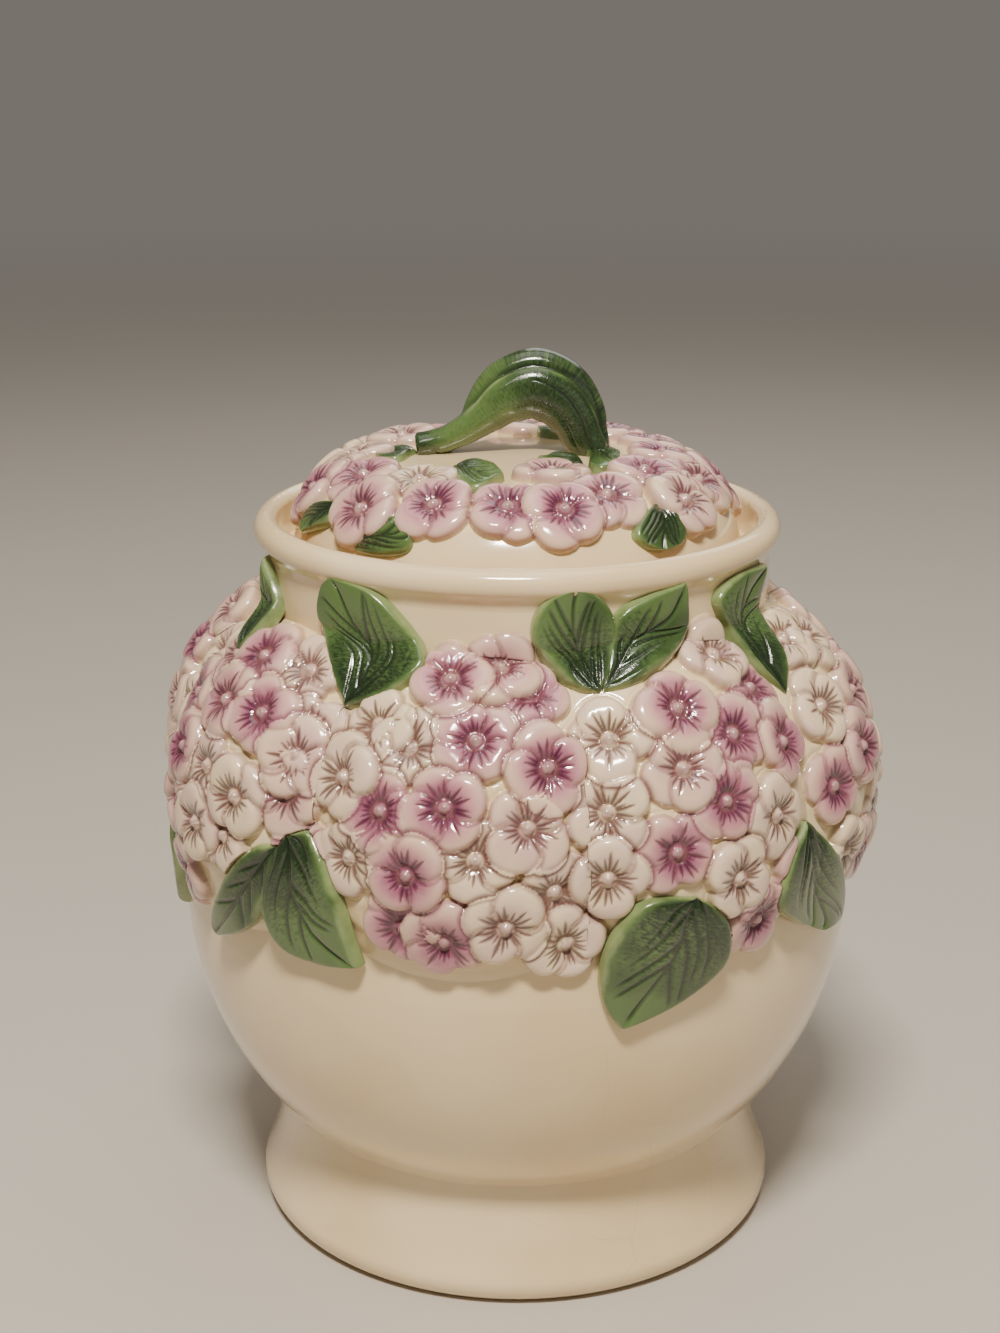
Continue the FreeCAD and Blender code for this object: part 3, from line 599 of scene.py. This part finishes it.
def spline(points, count):
    """Smooth curve through some points, evenly cut into a number of steps."""
    points = np.asarray(points, float)
    run = spline_run(points)
    fine = np.linspace(0, run[-1], 200)
    padded = np.vstack([2 * points[0] - points[1], points, 2 * points[-1] - points[-2]])
    index = np.clip(np.searchsorted(run, fine, side="right") - 1, 0, len(points) - 2)
    share = ((fine - run[index]) / (run[index + 1] - run[index]))[:, None]
    p0, p1, p2, p3 = (padded[index + step] for step in range(4))
    curve = 0.5 * (
        2 * p1
        + (p2 - p0) * share
        + (2 * p0 - 5 * p1 + 4 * p2 - p3) * share**2
        + (3 * p1 - p0 - 3 * p2 + p3) * share**3
    )
    length = spline_run(curve)
    even = np.linspace(0, length[-1], count)
    return np.stack([np.interp(even, length, curve[:, axis]) for axis in (0, 1)], axis=1)


def leaf_sides(sides, outside, to_surface):
    """Both sides of a leaf in surface distances, from its pixels."""
    left, right = sides
    right = [left[0], *right, left[-1]]
    return [[to_surface(pixel_hit(px, py, outside)) for px, py in side] for side in (left, right)]


def hidden_sides(middle, long, wide, lean):
    """Both sides of an ovate leaf about its middle, in surface distances."""
    angle = math.radians(lean)
    along = np.array([math.sin(angle), math.cos(angle)])
    across = np.array([math.cos(angle), -math.sin(angle)])
    shares = np.linspace(0, 1, 7)
    width = np.sin(math.pi * shares**0.8) * (wide / 2)
    return [
        [
            middle + along * (long * (share - 0.5)) + across * (sign * reach)
            for share, reach in zip(shares, width)
        ]
        for sign in (-1, 1)
    ]


def jar_to_surface(point):
    """Distances over the jar of a point: round it and up."""
    return np.array([math.atan2(point[0], -point[1]) * MEAN_R, point[2]])


def jar_leaves():
    """Sides of the leaves on one half of the jar, by node name."""
    leaves = {}
    for row, pixels, hidden in (
        ("shoulder_leaf", SHOULDER_LEAF_PIXELS, SHOULDER_LEAF_HIDDEN),
        ("belly_leaf", BELLY_LEAF_PIXELS, BELLY_LEAF_HIDDEN),
    ):
        for index, sides in pixels.items():
            leaves["%s_%d" % (row, index)] = leaf_sides(sides, outside_relief, jar_to_surface)
        for index, (turn, z, long, wide, lean) in hidden.items():
            middle = np.array([math.radians(turn) * MEAN_R, z])
            leaves["%s_%d" % (row, index)] = hidden_sides(middle, long, wide, lean)
    return leaves


def leaf_loops(leaves):
    """Outline of each leaf as a loop of points."""
    return [
        np.concatenate([spline(left, 30), spline(right, 30)[::-1]])
        for left, right in leaves.values()
    ]


def in_leaf(loops, turn, z):
    """Whether a place on the jar lies inside a leaf or close to its edge."""
    point = np.array([turn * MEAN_R, z])
    for loop in loops:
        middle = loop.mean(axis=0)
        reach = np.min(np.linalg.norm(loop - middle, axis=1))
        gap = np.min(np.linalg.norm(loop - point, axis=1))
        if np.linalg.norm(point - middle) < max(reach, 9.0) or gap < 4.0:
            return True
    return False


def under_leaves(loops, turn, z):
    """Whether each point of a grid lies inside a leaf's outline."""
    covered = np.zeros(turn.shape, dtype=bool)
    for loop in loops:
        for shift in (-math.pi, 0, math.pi):
            x = loop[:, 0] + shift * MEAN_R
            y = loop[:, 1]
            u, v = turn * MEAN_R, z
            box = (u > x.min()) & (u < x.max()) & (v > y.min()) & (v < y.max())
            if not box.any():
                continue
            u, v = u[box], v[box]
            inside = np.zeros(u.shape, dtype=bool)
            for x0, y0, x1, y1 in zip(x, y, np.roll(x, -1), np.roll(y, -1)):
                if y0 != y1:
                    spans = (y0 > v) != (y1 > v)
                    inside ^= spans & (u < (x1 - x0) * (v - y0) / (y1 - y0) + x0)
            covered[box] |= inside
    return covered


def leaf_grid(sides, rows, columns):
    """Grid over a leaf: from base to tip, and from one side to the other."""
    left = spline(sides[0], rows)
    right = spline(sides[1], rows)
    middle = (left + right) / 2
    across = np.linspace(-1, 1, columns)[None, :, None]
    to_left = (left - middle)[:, None] * -across
    to_right = (right - middle)[:, None] * across
    return middle[:, None] + np.where(across < 0, to_left, to_right), across[..., 0]


def leaf_fields(grid, across, thick, seed):
    """Height of a leaf over its surface and the paint at each point."""
    draw = np.random.default_rng(seed)
    rows, columns = grid.shape[:2]
    share = np.linspace(0, 1, rows)[:, None]
    half = np.linalg.norm(grid[:, -1] - grid[:, 0], axis=1)[:, None] / 2
    length = np.sum(np.linalg.norm(np.diff(grid[:, columns // 2], axis=0), axis=1))
    side_edge = (1 - np.abs(across)) * half
    end_edge = np.minimum(share, 1 - share) * length
    edge = np.minimum(side_edge, end_edge * 1.2)
    round_off = np.sqrt(np.clip(1 - (1 - np.clip(edge / 1.7, 0, 1)) ** 2, 0, 1))
    reach = np.abs(across) * half
    bend = 0.05 * half * np.sin(share * 5 + seed)
    middle = across * half - bend
    trunk = hump(middle, 0.75 - 0.35 * share)
    trunk = trunk * smooth(share / 0.04) * (1 - smooth((share - 0.84) / 0.1))
    veins = np.zeros((rows, columns))
    for sign in (-1, 1):
        for index in range(SIDE_VEINS):
            root = 0.01 + 0.66 * (index + draw.uniform(-0.2, 0.2)) / SIDE_VEINS
            slope = 1.75 - 0.9 * root + draw.uniform(-0.2, 0.2)
            curl = draw.uniform(0.008, 0.03)
            off = share * length - root * length - slope * reach - curl * reach**2
            end = draw.uniform(0.6, 0.85)
            side = (np.sign(middle) == sign) * (1 - smooth((reach / half - end + 0.2) / 0.25))
            width = 1.25 - 0.7 * np.clip(reach / half, 0, 1)
            veins = np.maximum(veins, hump(off, width) * side)
    veins = np.maximum(veins, trunk)
    puff = 0.45 * np.sin(np.pi * np.clip(reach / half, 0, 1)) + 0.2 * np.sin(share * 9 + seed)
    tall = thick * (0.55 + 0.45 * smooth(share / 0.35))
    height = (tall + puff) * round_off - 0.55 * veins * round_off - TUCK * (1 - round_off)
    fields = {
        "vein": veins,
        "edge": np.clip(edge / 5.0, 0, 1),
        "base": 1 - share + 0 * veins,
        "along": share * length / 40.0 + 0 * veins,
        "across": (across * half) / 40.0 + 0.6 * seed,
    }
    return height, fields


# Meshes.


def grid_piece(name, front, back, fields, closed, material):
    """Closed piece from a front grid of points and a coarse back grid under it.

    The grids reach one step past the piece on every side, or only above and below
    where the grid is closed round the jar, so that neighbours are shaded alike.
    """
    normals = grid_normals(front, closed)
    cut = (slice(1, -1), slice(None)) if closed else (slice(1, -1), slice(1, -1))
    front, back, normals = front[cut], back[cut], normals[cut]
    fields = {key: field[cut] for key, field in fields.items()}
    rows, columns = front.shape[:2]
    back = back[::STRIDE, ::STRIDE]
    low_rows, low_columns = back.shape[:2]
    verts = np.concatenate([front.reshape(-1, 3), back.reshape(-1, 3)]) * MM
    index = np.arange(rows * columns).reshape(rows, columns)
    under = np.arange(low_rows * low_columns).reshape(low_rows, low_columns) + index.size
    faces = grid_faces(index, closed).tolist() + grid_faces(under, closed)[:, ::-1].tolist()
    if closed:
        edges = [
            (np.append(index[0], index[0, 0]), np.append(under[0], under[0, 0])),
            (np.append(index[-1], index[-1, 0])[::-1], np.append(under[-1], under[-1, 0])[::-1]),
        ]
    else:
        edges = [
            (index[0], under[0]),
            (index[-1, ::-1], under[-1, ::-1]),
            (index[::-1, 0], under[::-1, 0]),
            (index[:, -1], under[:, -1]),
        ]
    for fine, coarse in edges:
        for step in range(len(coarse) - 1):
            top = fine[step * STRIDE : (step + 1) * STRIDE + 1]
            faces.append([int(coarse[step]), int(coarse[step + 1])] + top[::-1].tolist())
    mesh = bpy.data.meshes.new(name)
    mesh.from_pydata(verts.tolist(), [], faces)
    for key, field in fields.items():
        add_field(mesh, key, [field.reshape(-1), field[::STRIDE, ::STRIDE].reshape(-1)])
    mesh.polygons.foreach_set("use_smooth", np.ones(len(mesh.polygons), dtype=bool))
    normals = np.concatenate([normals.reshape(-1, 3), np.zeros((under.size, 3))])
    mesh.normals_split_custom_set_from_vertices(normals.tolist())
    mesh.materials.append(material)
    return add_object(name, mesh)


def add_field(mesh, name, parts):
    """Named value at each point, which a material reads."""
    layer = mesh.attributes.new(name, "FLOAT", "POINT")
    layer.data.foreach_set("value", np.concatenate(parts).astype(np.float32))


def grid_faces(index, closed):
    """Four-sided faces between the points of a grid."""
    right = np.roll(index, -1, axis=1) if closed else index[:, 1:]
    left = index if closed else index[:, :-1]
    return np.stack([left[:-1], right[:-1], right[1:], left[1:]], axis=-1).reshape(-1, 4)


def grid_normals(points, closed):
    """Outward normals of a grid of points."""
    if closed:
        across = np.roll(points, -1, axis=1) - np.roll(points, 1, axis=1)
    else:
        across = np.gradient(points, axis=1)
    normal = np.cross(across, np.gradient(points, axis=0))
    return normal / np.maximum(np.linalg.norm(normal, axis=-1, keepdims=True), 1e-9)


def whole_steps(count):
    """Grid points for about a number of steps, a whole number of strides, and a margin."""
    return int(math.ceil(count / STRIDE)) * STRIDE + 3


def dress(piece, body, slot, *nodes):
    """The body a piece rides on and the nodes it stands for, which are hidden; slot is not used."""
    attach(piece, body)
    if nodes:
        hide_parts(*nodes)


# Materials.


def new_material(name):
    """New material, short calls for its nodes and its surface shader."""
    material = bpy.data.materials.new(name)
    material.use_nodes = True
    nodes = material.node_tree.nodes
    nodes.clear()
    output = nodes.new("ShaderNodeOutputMaterial")
    shader = nodes.new("ShaderNodeBsdfPrincipled")
    material.node_tree.links.new(shader.outputs[0], output.inputs[0])
    return material, Nodes(material.node_tree), shader


class Nodes:
    """Short calls for the nodes that the materials use."""

    def __init__(self, tree):
        self.tree = tree

    def put(self, socket, value):
        """Link an input to an output, or give it a value."""
        if isinstance(value, bpy.types.NodeSocket):
            self.tree.links.new(value, socket)
        else:
            socket.default_value = value

    def make(self, kind, inputs, output, **settings):
        """An output of a new node with these inputs and settings."""
        node = self.tree.nodes.new("ShaderNode" + kind)
        for name, value in settings.items():
            setattr(node, name, value)
        for key, value in inputs.items():
            self.put(node.inputs[key], value)
        return node.outputs[output]

    def field(self, name):
        return self.make("Attribute", {}, "Fac", attribute_name=name)

    def place(self):
        return self.make("TexCoord", {}, "Object")

    def times(self, a, b):
        return self.make("Math", {0: a, 1: b}, 0, operation="MULTIPLY")

    def plus(self, a, b):
        return self.make("Math", {0: a, 1: b}, 0, operation="ADD")

    def minus(self, a, b):
        return self.make("Math", {0: a, 1: b}, 0, operation="SUBTRACT")

    def noise(self, vector, scale, detail=3.0, rough=0.5):
        inputs = {"Vector": vector, "Scale": scale, "Detail": detail, "Roughness": rough}
        return self.make("TexNoise", inputs, "Fac")

    def ramp(self, value, low, high):
        inputs = {"Value": value, "From Min": low, "From Max": high}
        return self.make("MapRange", inputs, "Result", interpolation_type="SMOOTHSTEP")

    def mix(self, share, a, b):
        return self.make("Mix", {"Factor": share, "A": a, "B": b}, "Result", data_type="RGBA")

    def bump(self, height, distance, strength):
        inputs = {"Height": height, "Distance": distance, "Strength": strength}
        return self.make("Bump", inputs, 0)


GLAZE = {
    "Roughness": 0.16,
    "IOR": 1.5,
    "Coat Weight": 0.6,
    "Coat Roughness": 0.06,
    "Subsurface Weight": 0.08,
    "Subsurface Radius": (0.004, 0.0025, 0.0015),
    "Subsurface Scale": 1.0,
}


def glazed(name, paint):
    """Material with a thick clear glaze over the colour and normal that paint(n) gives."""
    material, n, shader = new_material(name)
    ground, normal = paint(n)
    for key, value in {"Base Color": ground, "Normal": normal, **GLAZE}.items():
        n.put(shader.inputs[key], value)
    return material


def cream_ground(n):
    """Ivory glaze: slow drift of tone and hairline crazing."""
    place = n.place()
    ground = n.mix(n.ramp(n.noise(place, 14.0), 0.35, 0.7), CREAM, CREAM_WARM)
    warp = n.make("TexNoise", {"Vector": place, "Scale": 22.0}, "Color")
    inputs = {0: warp, 1: (0.02, 0.02, 0.02), 2: place}
    moved = n.make("VectorMath", inputs, 0, operation="MULTIPLY_ADD")
    inputs = {"Vector": moved, "Scale": 26.0}
    away = n.make("TexVoronoi", inputs, "Distance", feature="DISTANCE_TO_EDGE")
    hair = n.minus(1.0, n.ramp(away, 0.001, 0.005))
    patch = n.ramp(n.noise(place, 9.0, 2.0), 0.5, 0.66)
    return n.mix(n.times(n.times(hair, patch), 0.18), ground, CRAZE)


def paint_cream(n):
    """The bare glaze, with a slight sag."""
    return cream_ground(n), n.bump(n.noise(n.place(), 45.0, 2.0), 0.0006, 0.25)


def paint_petals(n):
    """Florets from pale to mauve, with brown to plum strokes, over the cream ground."""
    place = n.place()
    tint = n.field("tint")
    ring = n.field("ring")
    streak = n.field("streak")
    brush = n.noise(place, 260.0, 4.0, 0.6)
    pale = n.mix(n.ramp(n.noise(place, 90.0), 0.3, 0.75), PALE_PETAL, CREAM)
    rim = n.minus(1.0, n.times(n.ramp(ring, 0.5, 0.95), 0.65))
    blush = n.times(n.times(n.ramp(tint, 0.05, 0.8), 0.9), rim)
    petal = n.mix(blush, pale, PINK)
    worn = n.plus(ring, n.times(n.minus(brush, 0.5), 0.35))
    heart = n.times(n.minus(1.0, n.ramp(worn, 0.22, 0.72)), n.ramp(tint, 0.15, 0.95))
    petal = n.mix(n.times(heart, 0.9), petal, MAUVE)
    stroke = n.mix(n.ramp(tint, 0.12, 0.5), BROWN, PLUM)
    petal = n.mix(n.times(streak, 0.95), petal, stroke)
    bead = n.minus(1.0, n.ramp(ring, 0.11, 0.15))
    bead_colour = n.mix(n.times(tint, 0.6), PALE_PETAL, MAUVE)
    petal = n.mix(n.times(bead, n.field("petal")), petal, bead_colour)
    # Painted shade and pooled glaze: the hollows turn towards a dark brown.
    petal = n.mix(n.times(n.field("pooled_glaze_and_shade"), 0.8), petal, POOLED_GLAZE_AND_SHADE)
    joint = n.mix(n.times(tint, 0.7), JOINT, MAUVE)
    petal = n.mix(n.times(n.field("joint"), 0.9), petal, joint)
    return n.mix(n.field("petal"), cream_ground(n), petal), n.bump(brush, 0.0002, 0.2)


def paint_leaves(n):
    """Brushed greens, dark at the base and pale at the edge, with dark veins."""
    place = n.place()
    inputs = {0: n.times(n.field("along"), 3.0), 1: n.field("across")}
    strokes = n.make("CombineXYZ", inputs, 0)
    brush = n.noise(strokes, 22.0, 5.0, 0.65)
    blotch = n.noise(place, 110.0, 4.0, 0.6)
    depth = n.plus(n.field("edge"), n.times(n.minus(blotch, 0.5), 0.9))
    wash = n.minus(n.noise(place, 42.0, 2.0), n.times(n.field("base"), 0.35))
    green = n.mix(n.times(n.ramp(wash, 0.2, 0.42), 0.75), LEAF_MID, LEAF_LIGHT)
    green = n.mix(n.ramp(depth, -0.1, 0.45), LEAF_EDGE, green)
    shade = n.plus(n.field("base"), n.times(n.minus(brush, 0.5), 1.4))
    dark = n.times(n.ramp(shade, 0.35, 0.85), n.ramp(depth, 0.2, 0.8))
    green = n.mix(dark, green, LEAF_DARK)
    green = n.mix(n.times(n.field("vein"), 0.8), green, VEIN)
    return green, n.bump(brush, 0.0003, 0.3)


# Pieces.


def even_levels(low, high, step):
    """Heights that cut the jar's wall into even steps along its slope."""
    fine = np.arange(low, high, 0.1)
    run = np.concatenate([[0], np.cumsum(np.hypot(np.diff(wall_radius(fine)), 0.1))])
    return np.interp(np.linspace(0, run[-1], whole_steps(run[-1] / step)), run, fine)


def flower_heads(loops, material):
    """Relief of each flower head between the bearings halfway to its neighbours."""
    florets = head_florets(loops)
    turns = all_turns()
    around = np.concatenate([turns[-1:] - 2 * math.pi, turns, turns[:1] + 2 * math.pi])
    borders = (around[:-1] + around[1:]) / 2
    levels = even_levels(HEAD_LOW, HEAD_HIGH, GRID)
    margin = 2 * STRIDE
    for index, (first, last) in enumerate(zip(borders[:-1], borders[1:]), start=1):
        steps = whole_steps((last - first) * HEAD_MEAN_R / GRID)
        pitch = (last - first) / (steps - 3)
        across = first + pitch * (np.arange(-margin - 1, steps + margin - 1))
        turn, z = np.meshgrid(across, levels)
        base = relief_point(turn, z)
        normal = relief_normal(turn, z)
        proud = relief_radius(turn, z) - wall_radius(z)
        bed = 0.5 * smooth((proud - 2.0) / 2.0) - TUCK * (1 - smooth(proud / 1.0))
        sample = base[::margin, ::margin]
        near = [f for f in florets if np.min(np.linalg.norm(sample - f.place, axis=2)) < HEAD_REACH]
        height, fields = flower_fields(base, near, bed)
        height = np.where(under_leaves(loops, turn, z), np.minimum(height, UNDER_LEAF), height)
        front = (base + normal * height[..., None])[:, margin:-margin]
        back = polar(turn, wall_radius(z) - HEAD_BACK_DEEP, z)[:, margin:-margin]
        fields = {key: field[:, margin:-margin] for key, field in fields.items()}
        piece = grid_piece("flower_head_%d" % index, front, back, fields, False, material)
        dress(piece, "jar", "petal_glaze", "bloom_%d" % index, "florets_%d" % index)


def padded(grid):
    """Grid with its border repeated once on every side."""
    return np.pad(grid, ((1, 1), (1, 1)) + ((0, 0),) * (grid.ndim - 2), mode="edge")


# Surfaces that leaves lie on: point, normal, mean radius and body.
JAR_SURFACE = (eased_point, eased_normal, MEAN_R, "jar")
LID_SURFACE = (lid_point, lid_normal, LID_MEAN_R, "lid")


def leaf_piece(name, sides, surface, thick, seed, material):
    """Leaf over a surface, with a back just under it."""
    point_at, normal_at, scale, body = surface
    grid, across = leaf_grid(sides, LEAF_ROWS, LEAF_COLUMNS)
    a = grid[..., 0] / scale
    b = grid[..., 1]
    base = point_at(a, b)
    normal = normal_at(a, b)
    height, fields = leaf_fields(grid, across, thick, seed)
    front = base + normal * height[..., None]
    back = base - normal * BACK_DEEP
    row, column = LEAF_ROWS // 2, LEAF_COLUMNS // 2
    climb = grid[row + 15, column] - grid[row - 15, column]
    if np.cross(grid[row, -1] - grid[row, 0], climb) < 0:
        front = front[:, ::-1]
        back = back[:, ::-1]
        fields = {key: field[:, ::-1] for key, field in fields.items()}
    fields = {key: padded(field) for key, field in fields.items()}
    piece = grid_piece(name, padded(front), padded(back), fields, False, material)
    dress(piece, body, "leaf_glaze")
    return piece


def leaf_pair(row, index, sides, surface, thick, seed, material):
    """A leaf of a row and its copy on the other half."""
    for half in (0, 1):
        shift = np.array([math.pi * half * surface[2], 0])
        turned = [[np.asarray(point) + shift for point in side] for side in sides]
        name = "%s_%d" % (row, index + LEAVES_PER_HALF * half)
        piece = leaf_piece(name + "_glazed", turned, surface, thick, seed + 10 * half, material)
        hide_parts(name)


def jar_leaf_pieces(leaves, material):
    """Leaves of both halves of the jar."""
    for row in ("shoulder_leaf", "belly_leaf"):
        for index in range(1, LEAVES_PER_HALF + 1):
            sides = leaves["%s_%d" % (row, index)]
            leaf_pair(row, index, sides, JAR_SURFACE, JAR_LEAF_THICK, index, material)


def lid_to_surface(point):
    """Distances over the lid of a point: round it and in from its edge."""
    return np.array([math.atan2(point[0], -point[1]) * LID_MEAN_R, lid_run(point)])


def lid_leaf_pieces(material):
    """Leaves of both halves of the lid, and the two that lie at the handle's feet."""
    for index, pixels in LID_LEAF_PIXELS.items():
        sides = leaf_sides(pixels, outside_lid, lid_to_surface)
        seed = LID_LEAF_SEED + index
        leaf_pair("lid_leaf", index, sides, LID_SURFACE, LID_LEAF_THICK, seed, material)
    for index, pixels in enumerate(HANDLE_LEAF_PIXELS, start=1):
        sides = leaf_sides(pixels, outside_lid, lid_to_surface)
        name, seed = "handle_leaf_%d" % index, HANDLE_LEAF_SEED + index
        leaf_piece(name, sides, LID_SURFACE, HANDLE_LEAF_THICK, seed, material)


# Handle.


def offset_oval(angle, centre, half):
    """Distance from the origin to an oval that goes round it, by direction."""
    run = np.stack([np.cos(angle), np.sin(angle)], axis=-1) / half
    start = centre / half
    square = np.sum(run**2, axis=-1)
    mixed = np.sum(run * start, axis=-1)
    level = np.sum(start**2, axis=-1) - 1
    return (mixed + np.sqrt(np.maximum(mixed**2 - square * level, 0))) / square


def handle_piece(material):
    """Arched stem with a fold: one roll in front and one behind it."""
    rows, columns = HANDLE_ROWS, HANDLE_COLUMNS
    stations = np.array(HANDLE_STATIONS)
    line = spline(stations[:, :2], rows)
    known = spline_run(stations[:, :2])
    run = spline_run(line)[:, None]
    run = run / run[-1]
    thick, deep, fold = (
        np.interp(run, known / known[-1], stations[:, column]) for column in (2, 3, 4)
    )
    along = np.gradient(line, axis=0)
    along /= np.linalg.norm(along, axis=1, keepdims=True)
    up = np.stack([-along[:, 1], along[:, 0]], axis=1)
    angle = np.linspace(0, 2 * math.pi, columns, endpoint=False)[None, :]
    half = np.stack([deep * (1 - 0.25 * fold), thick * (1 - 0.2 * fold)], axis=-1)
    front = np.stack([0.25 * deep * fold, -0.2 * thick * fold], axis=-1)
    before = offset_oval(angle + 0 * thick, front, half)
    behind = offset_oval(angle + 0 * thick, -front, half * (0.6 + 0.4 * fold[..., None]))
    radius = soft_max(before, behind, 0.7)
    top = fold * (np.sin(angle) > 0)
    crease = hump(before - behind, 0.8) * top
    # Painted highlight: a pale line along the fold's ridge, just in front of the crease; it changes
    # only the paint.
    ridge_highlight = hump(before - behind - 0.9, 0.8) * top
    draw = np.random.default_rng(HANDLE_SEED)
    veins = np.zeros((rows, columns))
    for _ in range(HANDLE_VEINS):
        start = draw.uniform(0.35, 0.75)
        end = min(start + draw.uniform(0.15, 0.4), 0.98)
        middle = draw.uniform(-1.4, 2.6) + draw.uniform(-1.2, 1.2) * (run - start)
        off = (np.mod(angle - middle + math.pi, 2 * math.pi) - math.pi) * radius
        share = (run - start) / (end - start)
        there = smooth(share / 0.2) * (1 - smooth((share - 0.7) / 0.3))
        veins = np.maximum(veins, hump(off, 0.45) * there)
    radius = radius - 0.35 * veins - 0.45 * crease
    notch = hump(run - 0.075, 0.008) * smooth(-np.sin(angle) + 0.6)
    radius = radius - 0.5 * notch
    side = np.array([0.0, -1.0, 0.0])
    centre = np.insert(line, 1, 0, axis=1)
    lift = np.insert(up, 1, 0, axis=1)
    points = centre[:, None] + radius[..., None] * (
        np.cos(angle)[..., None] * side + np.sin(angle)[..., None] * lift[:, None]
    )
    dark = smooth((run - 0.38) / 0.25) * (0.7 + 0.3 * np.cos(angle))
    end_dark = 1 - smooth((run - 0.03) / 0.05)
    # The edge and base values are lowered along the ridge for its painted highlight.
    fields = {
        "vein": np.clip(veins + 0.8 * crease + 0.6 * notch, 0, 1),
        "edge": np.clip(0.62 + 0.4 * dark - 0.6 * ridge_highlight, 0, 1),
        "base": np.clip(0.46 + 0.26 * dark + 0.3 * end_dark - 0.2 * ridge_highlight, 0, 1),
        "along": run * 2.2 + 0 * radius,
        "across": np.sin(angle) * 0.2 + 0 * radius,
    }
    index = np.arange(rows * columns).reshape(rows, columns)
    faces = grid_faces(index, True)[:, ::-1].tolist()
    faces += [index[0].tolist(), index[-1, ::-1].tolist()]
    mesh = bpy.data.meshes.new("handle_glazed")
    mesh.from_pydata((points.reshape(-1, 3) * MM).tolist(), [], faces)
    for key, field in fields.items():
        add_field(mesh, key, [field.reshape(-1)])
    smooth_faces = np.ones(len(mesh.polygons), dtype=bool)
    smooth_faces[-2:] = False
    mesh.polygons.foreach_set("use_smooth", smooth_faces)
    mesh.materials.append(material)
    dress(add_object("handle_glazed", mesh), "lid", "leaf_glaze", "lid_handle")


def lid_flowers(material):
    """Rings of florets round the lid's shoulder and crown, in one relief."""
    florets = []
    spots = []
    draw = np.random.default_rng(LID_FILL_SEED)
    for px, py, tint in LID_PIXELS:
        point = pixel_hit(px, py, outside_lid)
        turn = math.atan2(point[0], -point[1])
        spots.append((turn, lid_run(point), tint))
    for run in LID_FILL_RUNS:
        for turn in LID_FILL_TURNS:
            point = lid_point(turn, run)
            near = min(np.linalg.norm(point - lid_point(a, b)) for a, b, _ in spots)
            if near > LID_FILL_GAP and abs(turn) > LID_SEEN_TURN:
                spots.append((turn, run, draw.choice([0.1, 0.4, 0.7, 0.9])))
    for index, (turn, run, tint) in enumerate(spots):
        place, normal = lid_point(turn, run), lid_normal(turn, run)
        florets.append(Floret(place, normal, tint, LID_FLORET_SEED + index))
    columns = whole_steps(math.tau * LID_GRID_R / GRID) - 3
    rows = whole_steps((LID_HIGH - LID_LOW) / GRID)
    around = np.linspace(-math.pi, math.pi, columns, endpoint=False)
    turn, run = np.meshgrid(around, np.linspace(LID_LOW, LID_HIGH, rows))
    base = lid_point(turn, run)
    normal = lid_normal(turn, run)
    height, fields = flower_fields(base, florets, np.full(turn.shape, -TUCK))
    front = base + normal * height[..., None]
    back = base - normal * BACK_DEEP
    piece = grid_piece("lid_flowers", front, back, fields, True, material)
    dress(piece, "lid", "petal_glaze", "lid_florets")


def paint_frame(cream):
    """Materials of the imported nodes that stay."""
    for name in ("jar_body", "lid_body", "lid_locating_ring"):
        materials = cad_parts[name].data.materials
        materials.clear()
        materials.append(cream)


# Stage.


def make_stage():
    """Plain floor that fades into the background a few metres away."""
    floor = bpy.data.meshes.new("floor")
    signs = ((-1, -1), (1, -1), (1, 1), (-1, 1))
    floor.from_pydata([(x * FLOOR_SIDE, y * FLOOR_SIDE, 0) for x, y in signs], [], [(0, 1, 2, 3)])
    material, n, shader = new_material("floor")
    n.put(shader.inputs["Base Color"], n.mix(n.noise(n.place(), 3.0), FLOOR, FLOOR_PALE))
    shader.inputs["Roughness"].default_value = 0.7
    away = n.make("VectorMath", {0: n.place()}, "Value", operation="LENGTH")
    haze = n.make("Emission", {"Color": SKY, "Strength": SKY_STRENGTH}, 0)
    blend = {0: n.ramp(away, FLOOR_NEAR, FLOOR_FAR), 1: shader.outputs[0], 2: haze}
    sink = n.tree.get_output_node("ALL")
    n.put(sink.inputs["Surface"], n.make("MixShader", blend, 0))
    floor.materials.append(material)
    add_object("floor", floor)


def make_lights():
    """Soft even background, and the lights of the list."""
    world = bpy.data.worlds.new("world")
    world.use_nodes = True
    sky = world.node_tree.nodes["Background"]
    sky.inputs[0].default_value = SKY
    sky.inputs[1].default_value = SKY_STRENGTH
    bpy.context.scene.world = world
    for name, place, size, power, tint in LIGHTS:
        data = bpy.data.lights.new(name, "AREA")
        data.shape = "RECTANGLE"
        data.size, data.size_y = size
        data.energy = power
        data.color = tint
        lamp = add_object(name, data)
        lamp.location = place
        aim = Vector(LIGHT_AIM) - Vector(place)
        lamp.rotation_euler = aim.to_track_quat("-Z", "Y").to_euler()


make_camera()
make_stage()
make_lights()
leaves = jar_leaves()
cream = glazed("cream_glaze", paint_cream)
petal = glazed("petal_glaze", paint_petals)
leaf = glazed("leaf_glaze", paint_leaves)
paint_frame(cream)
flower_heads(leaf_loops(leaves), petal)
jar_leaf_pieces(leaves, leaf)
lid_flowers(petal)
lid_leaf_pieces(leaf)
handle_piece(leaf)
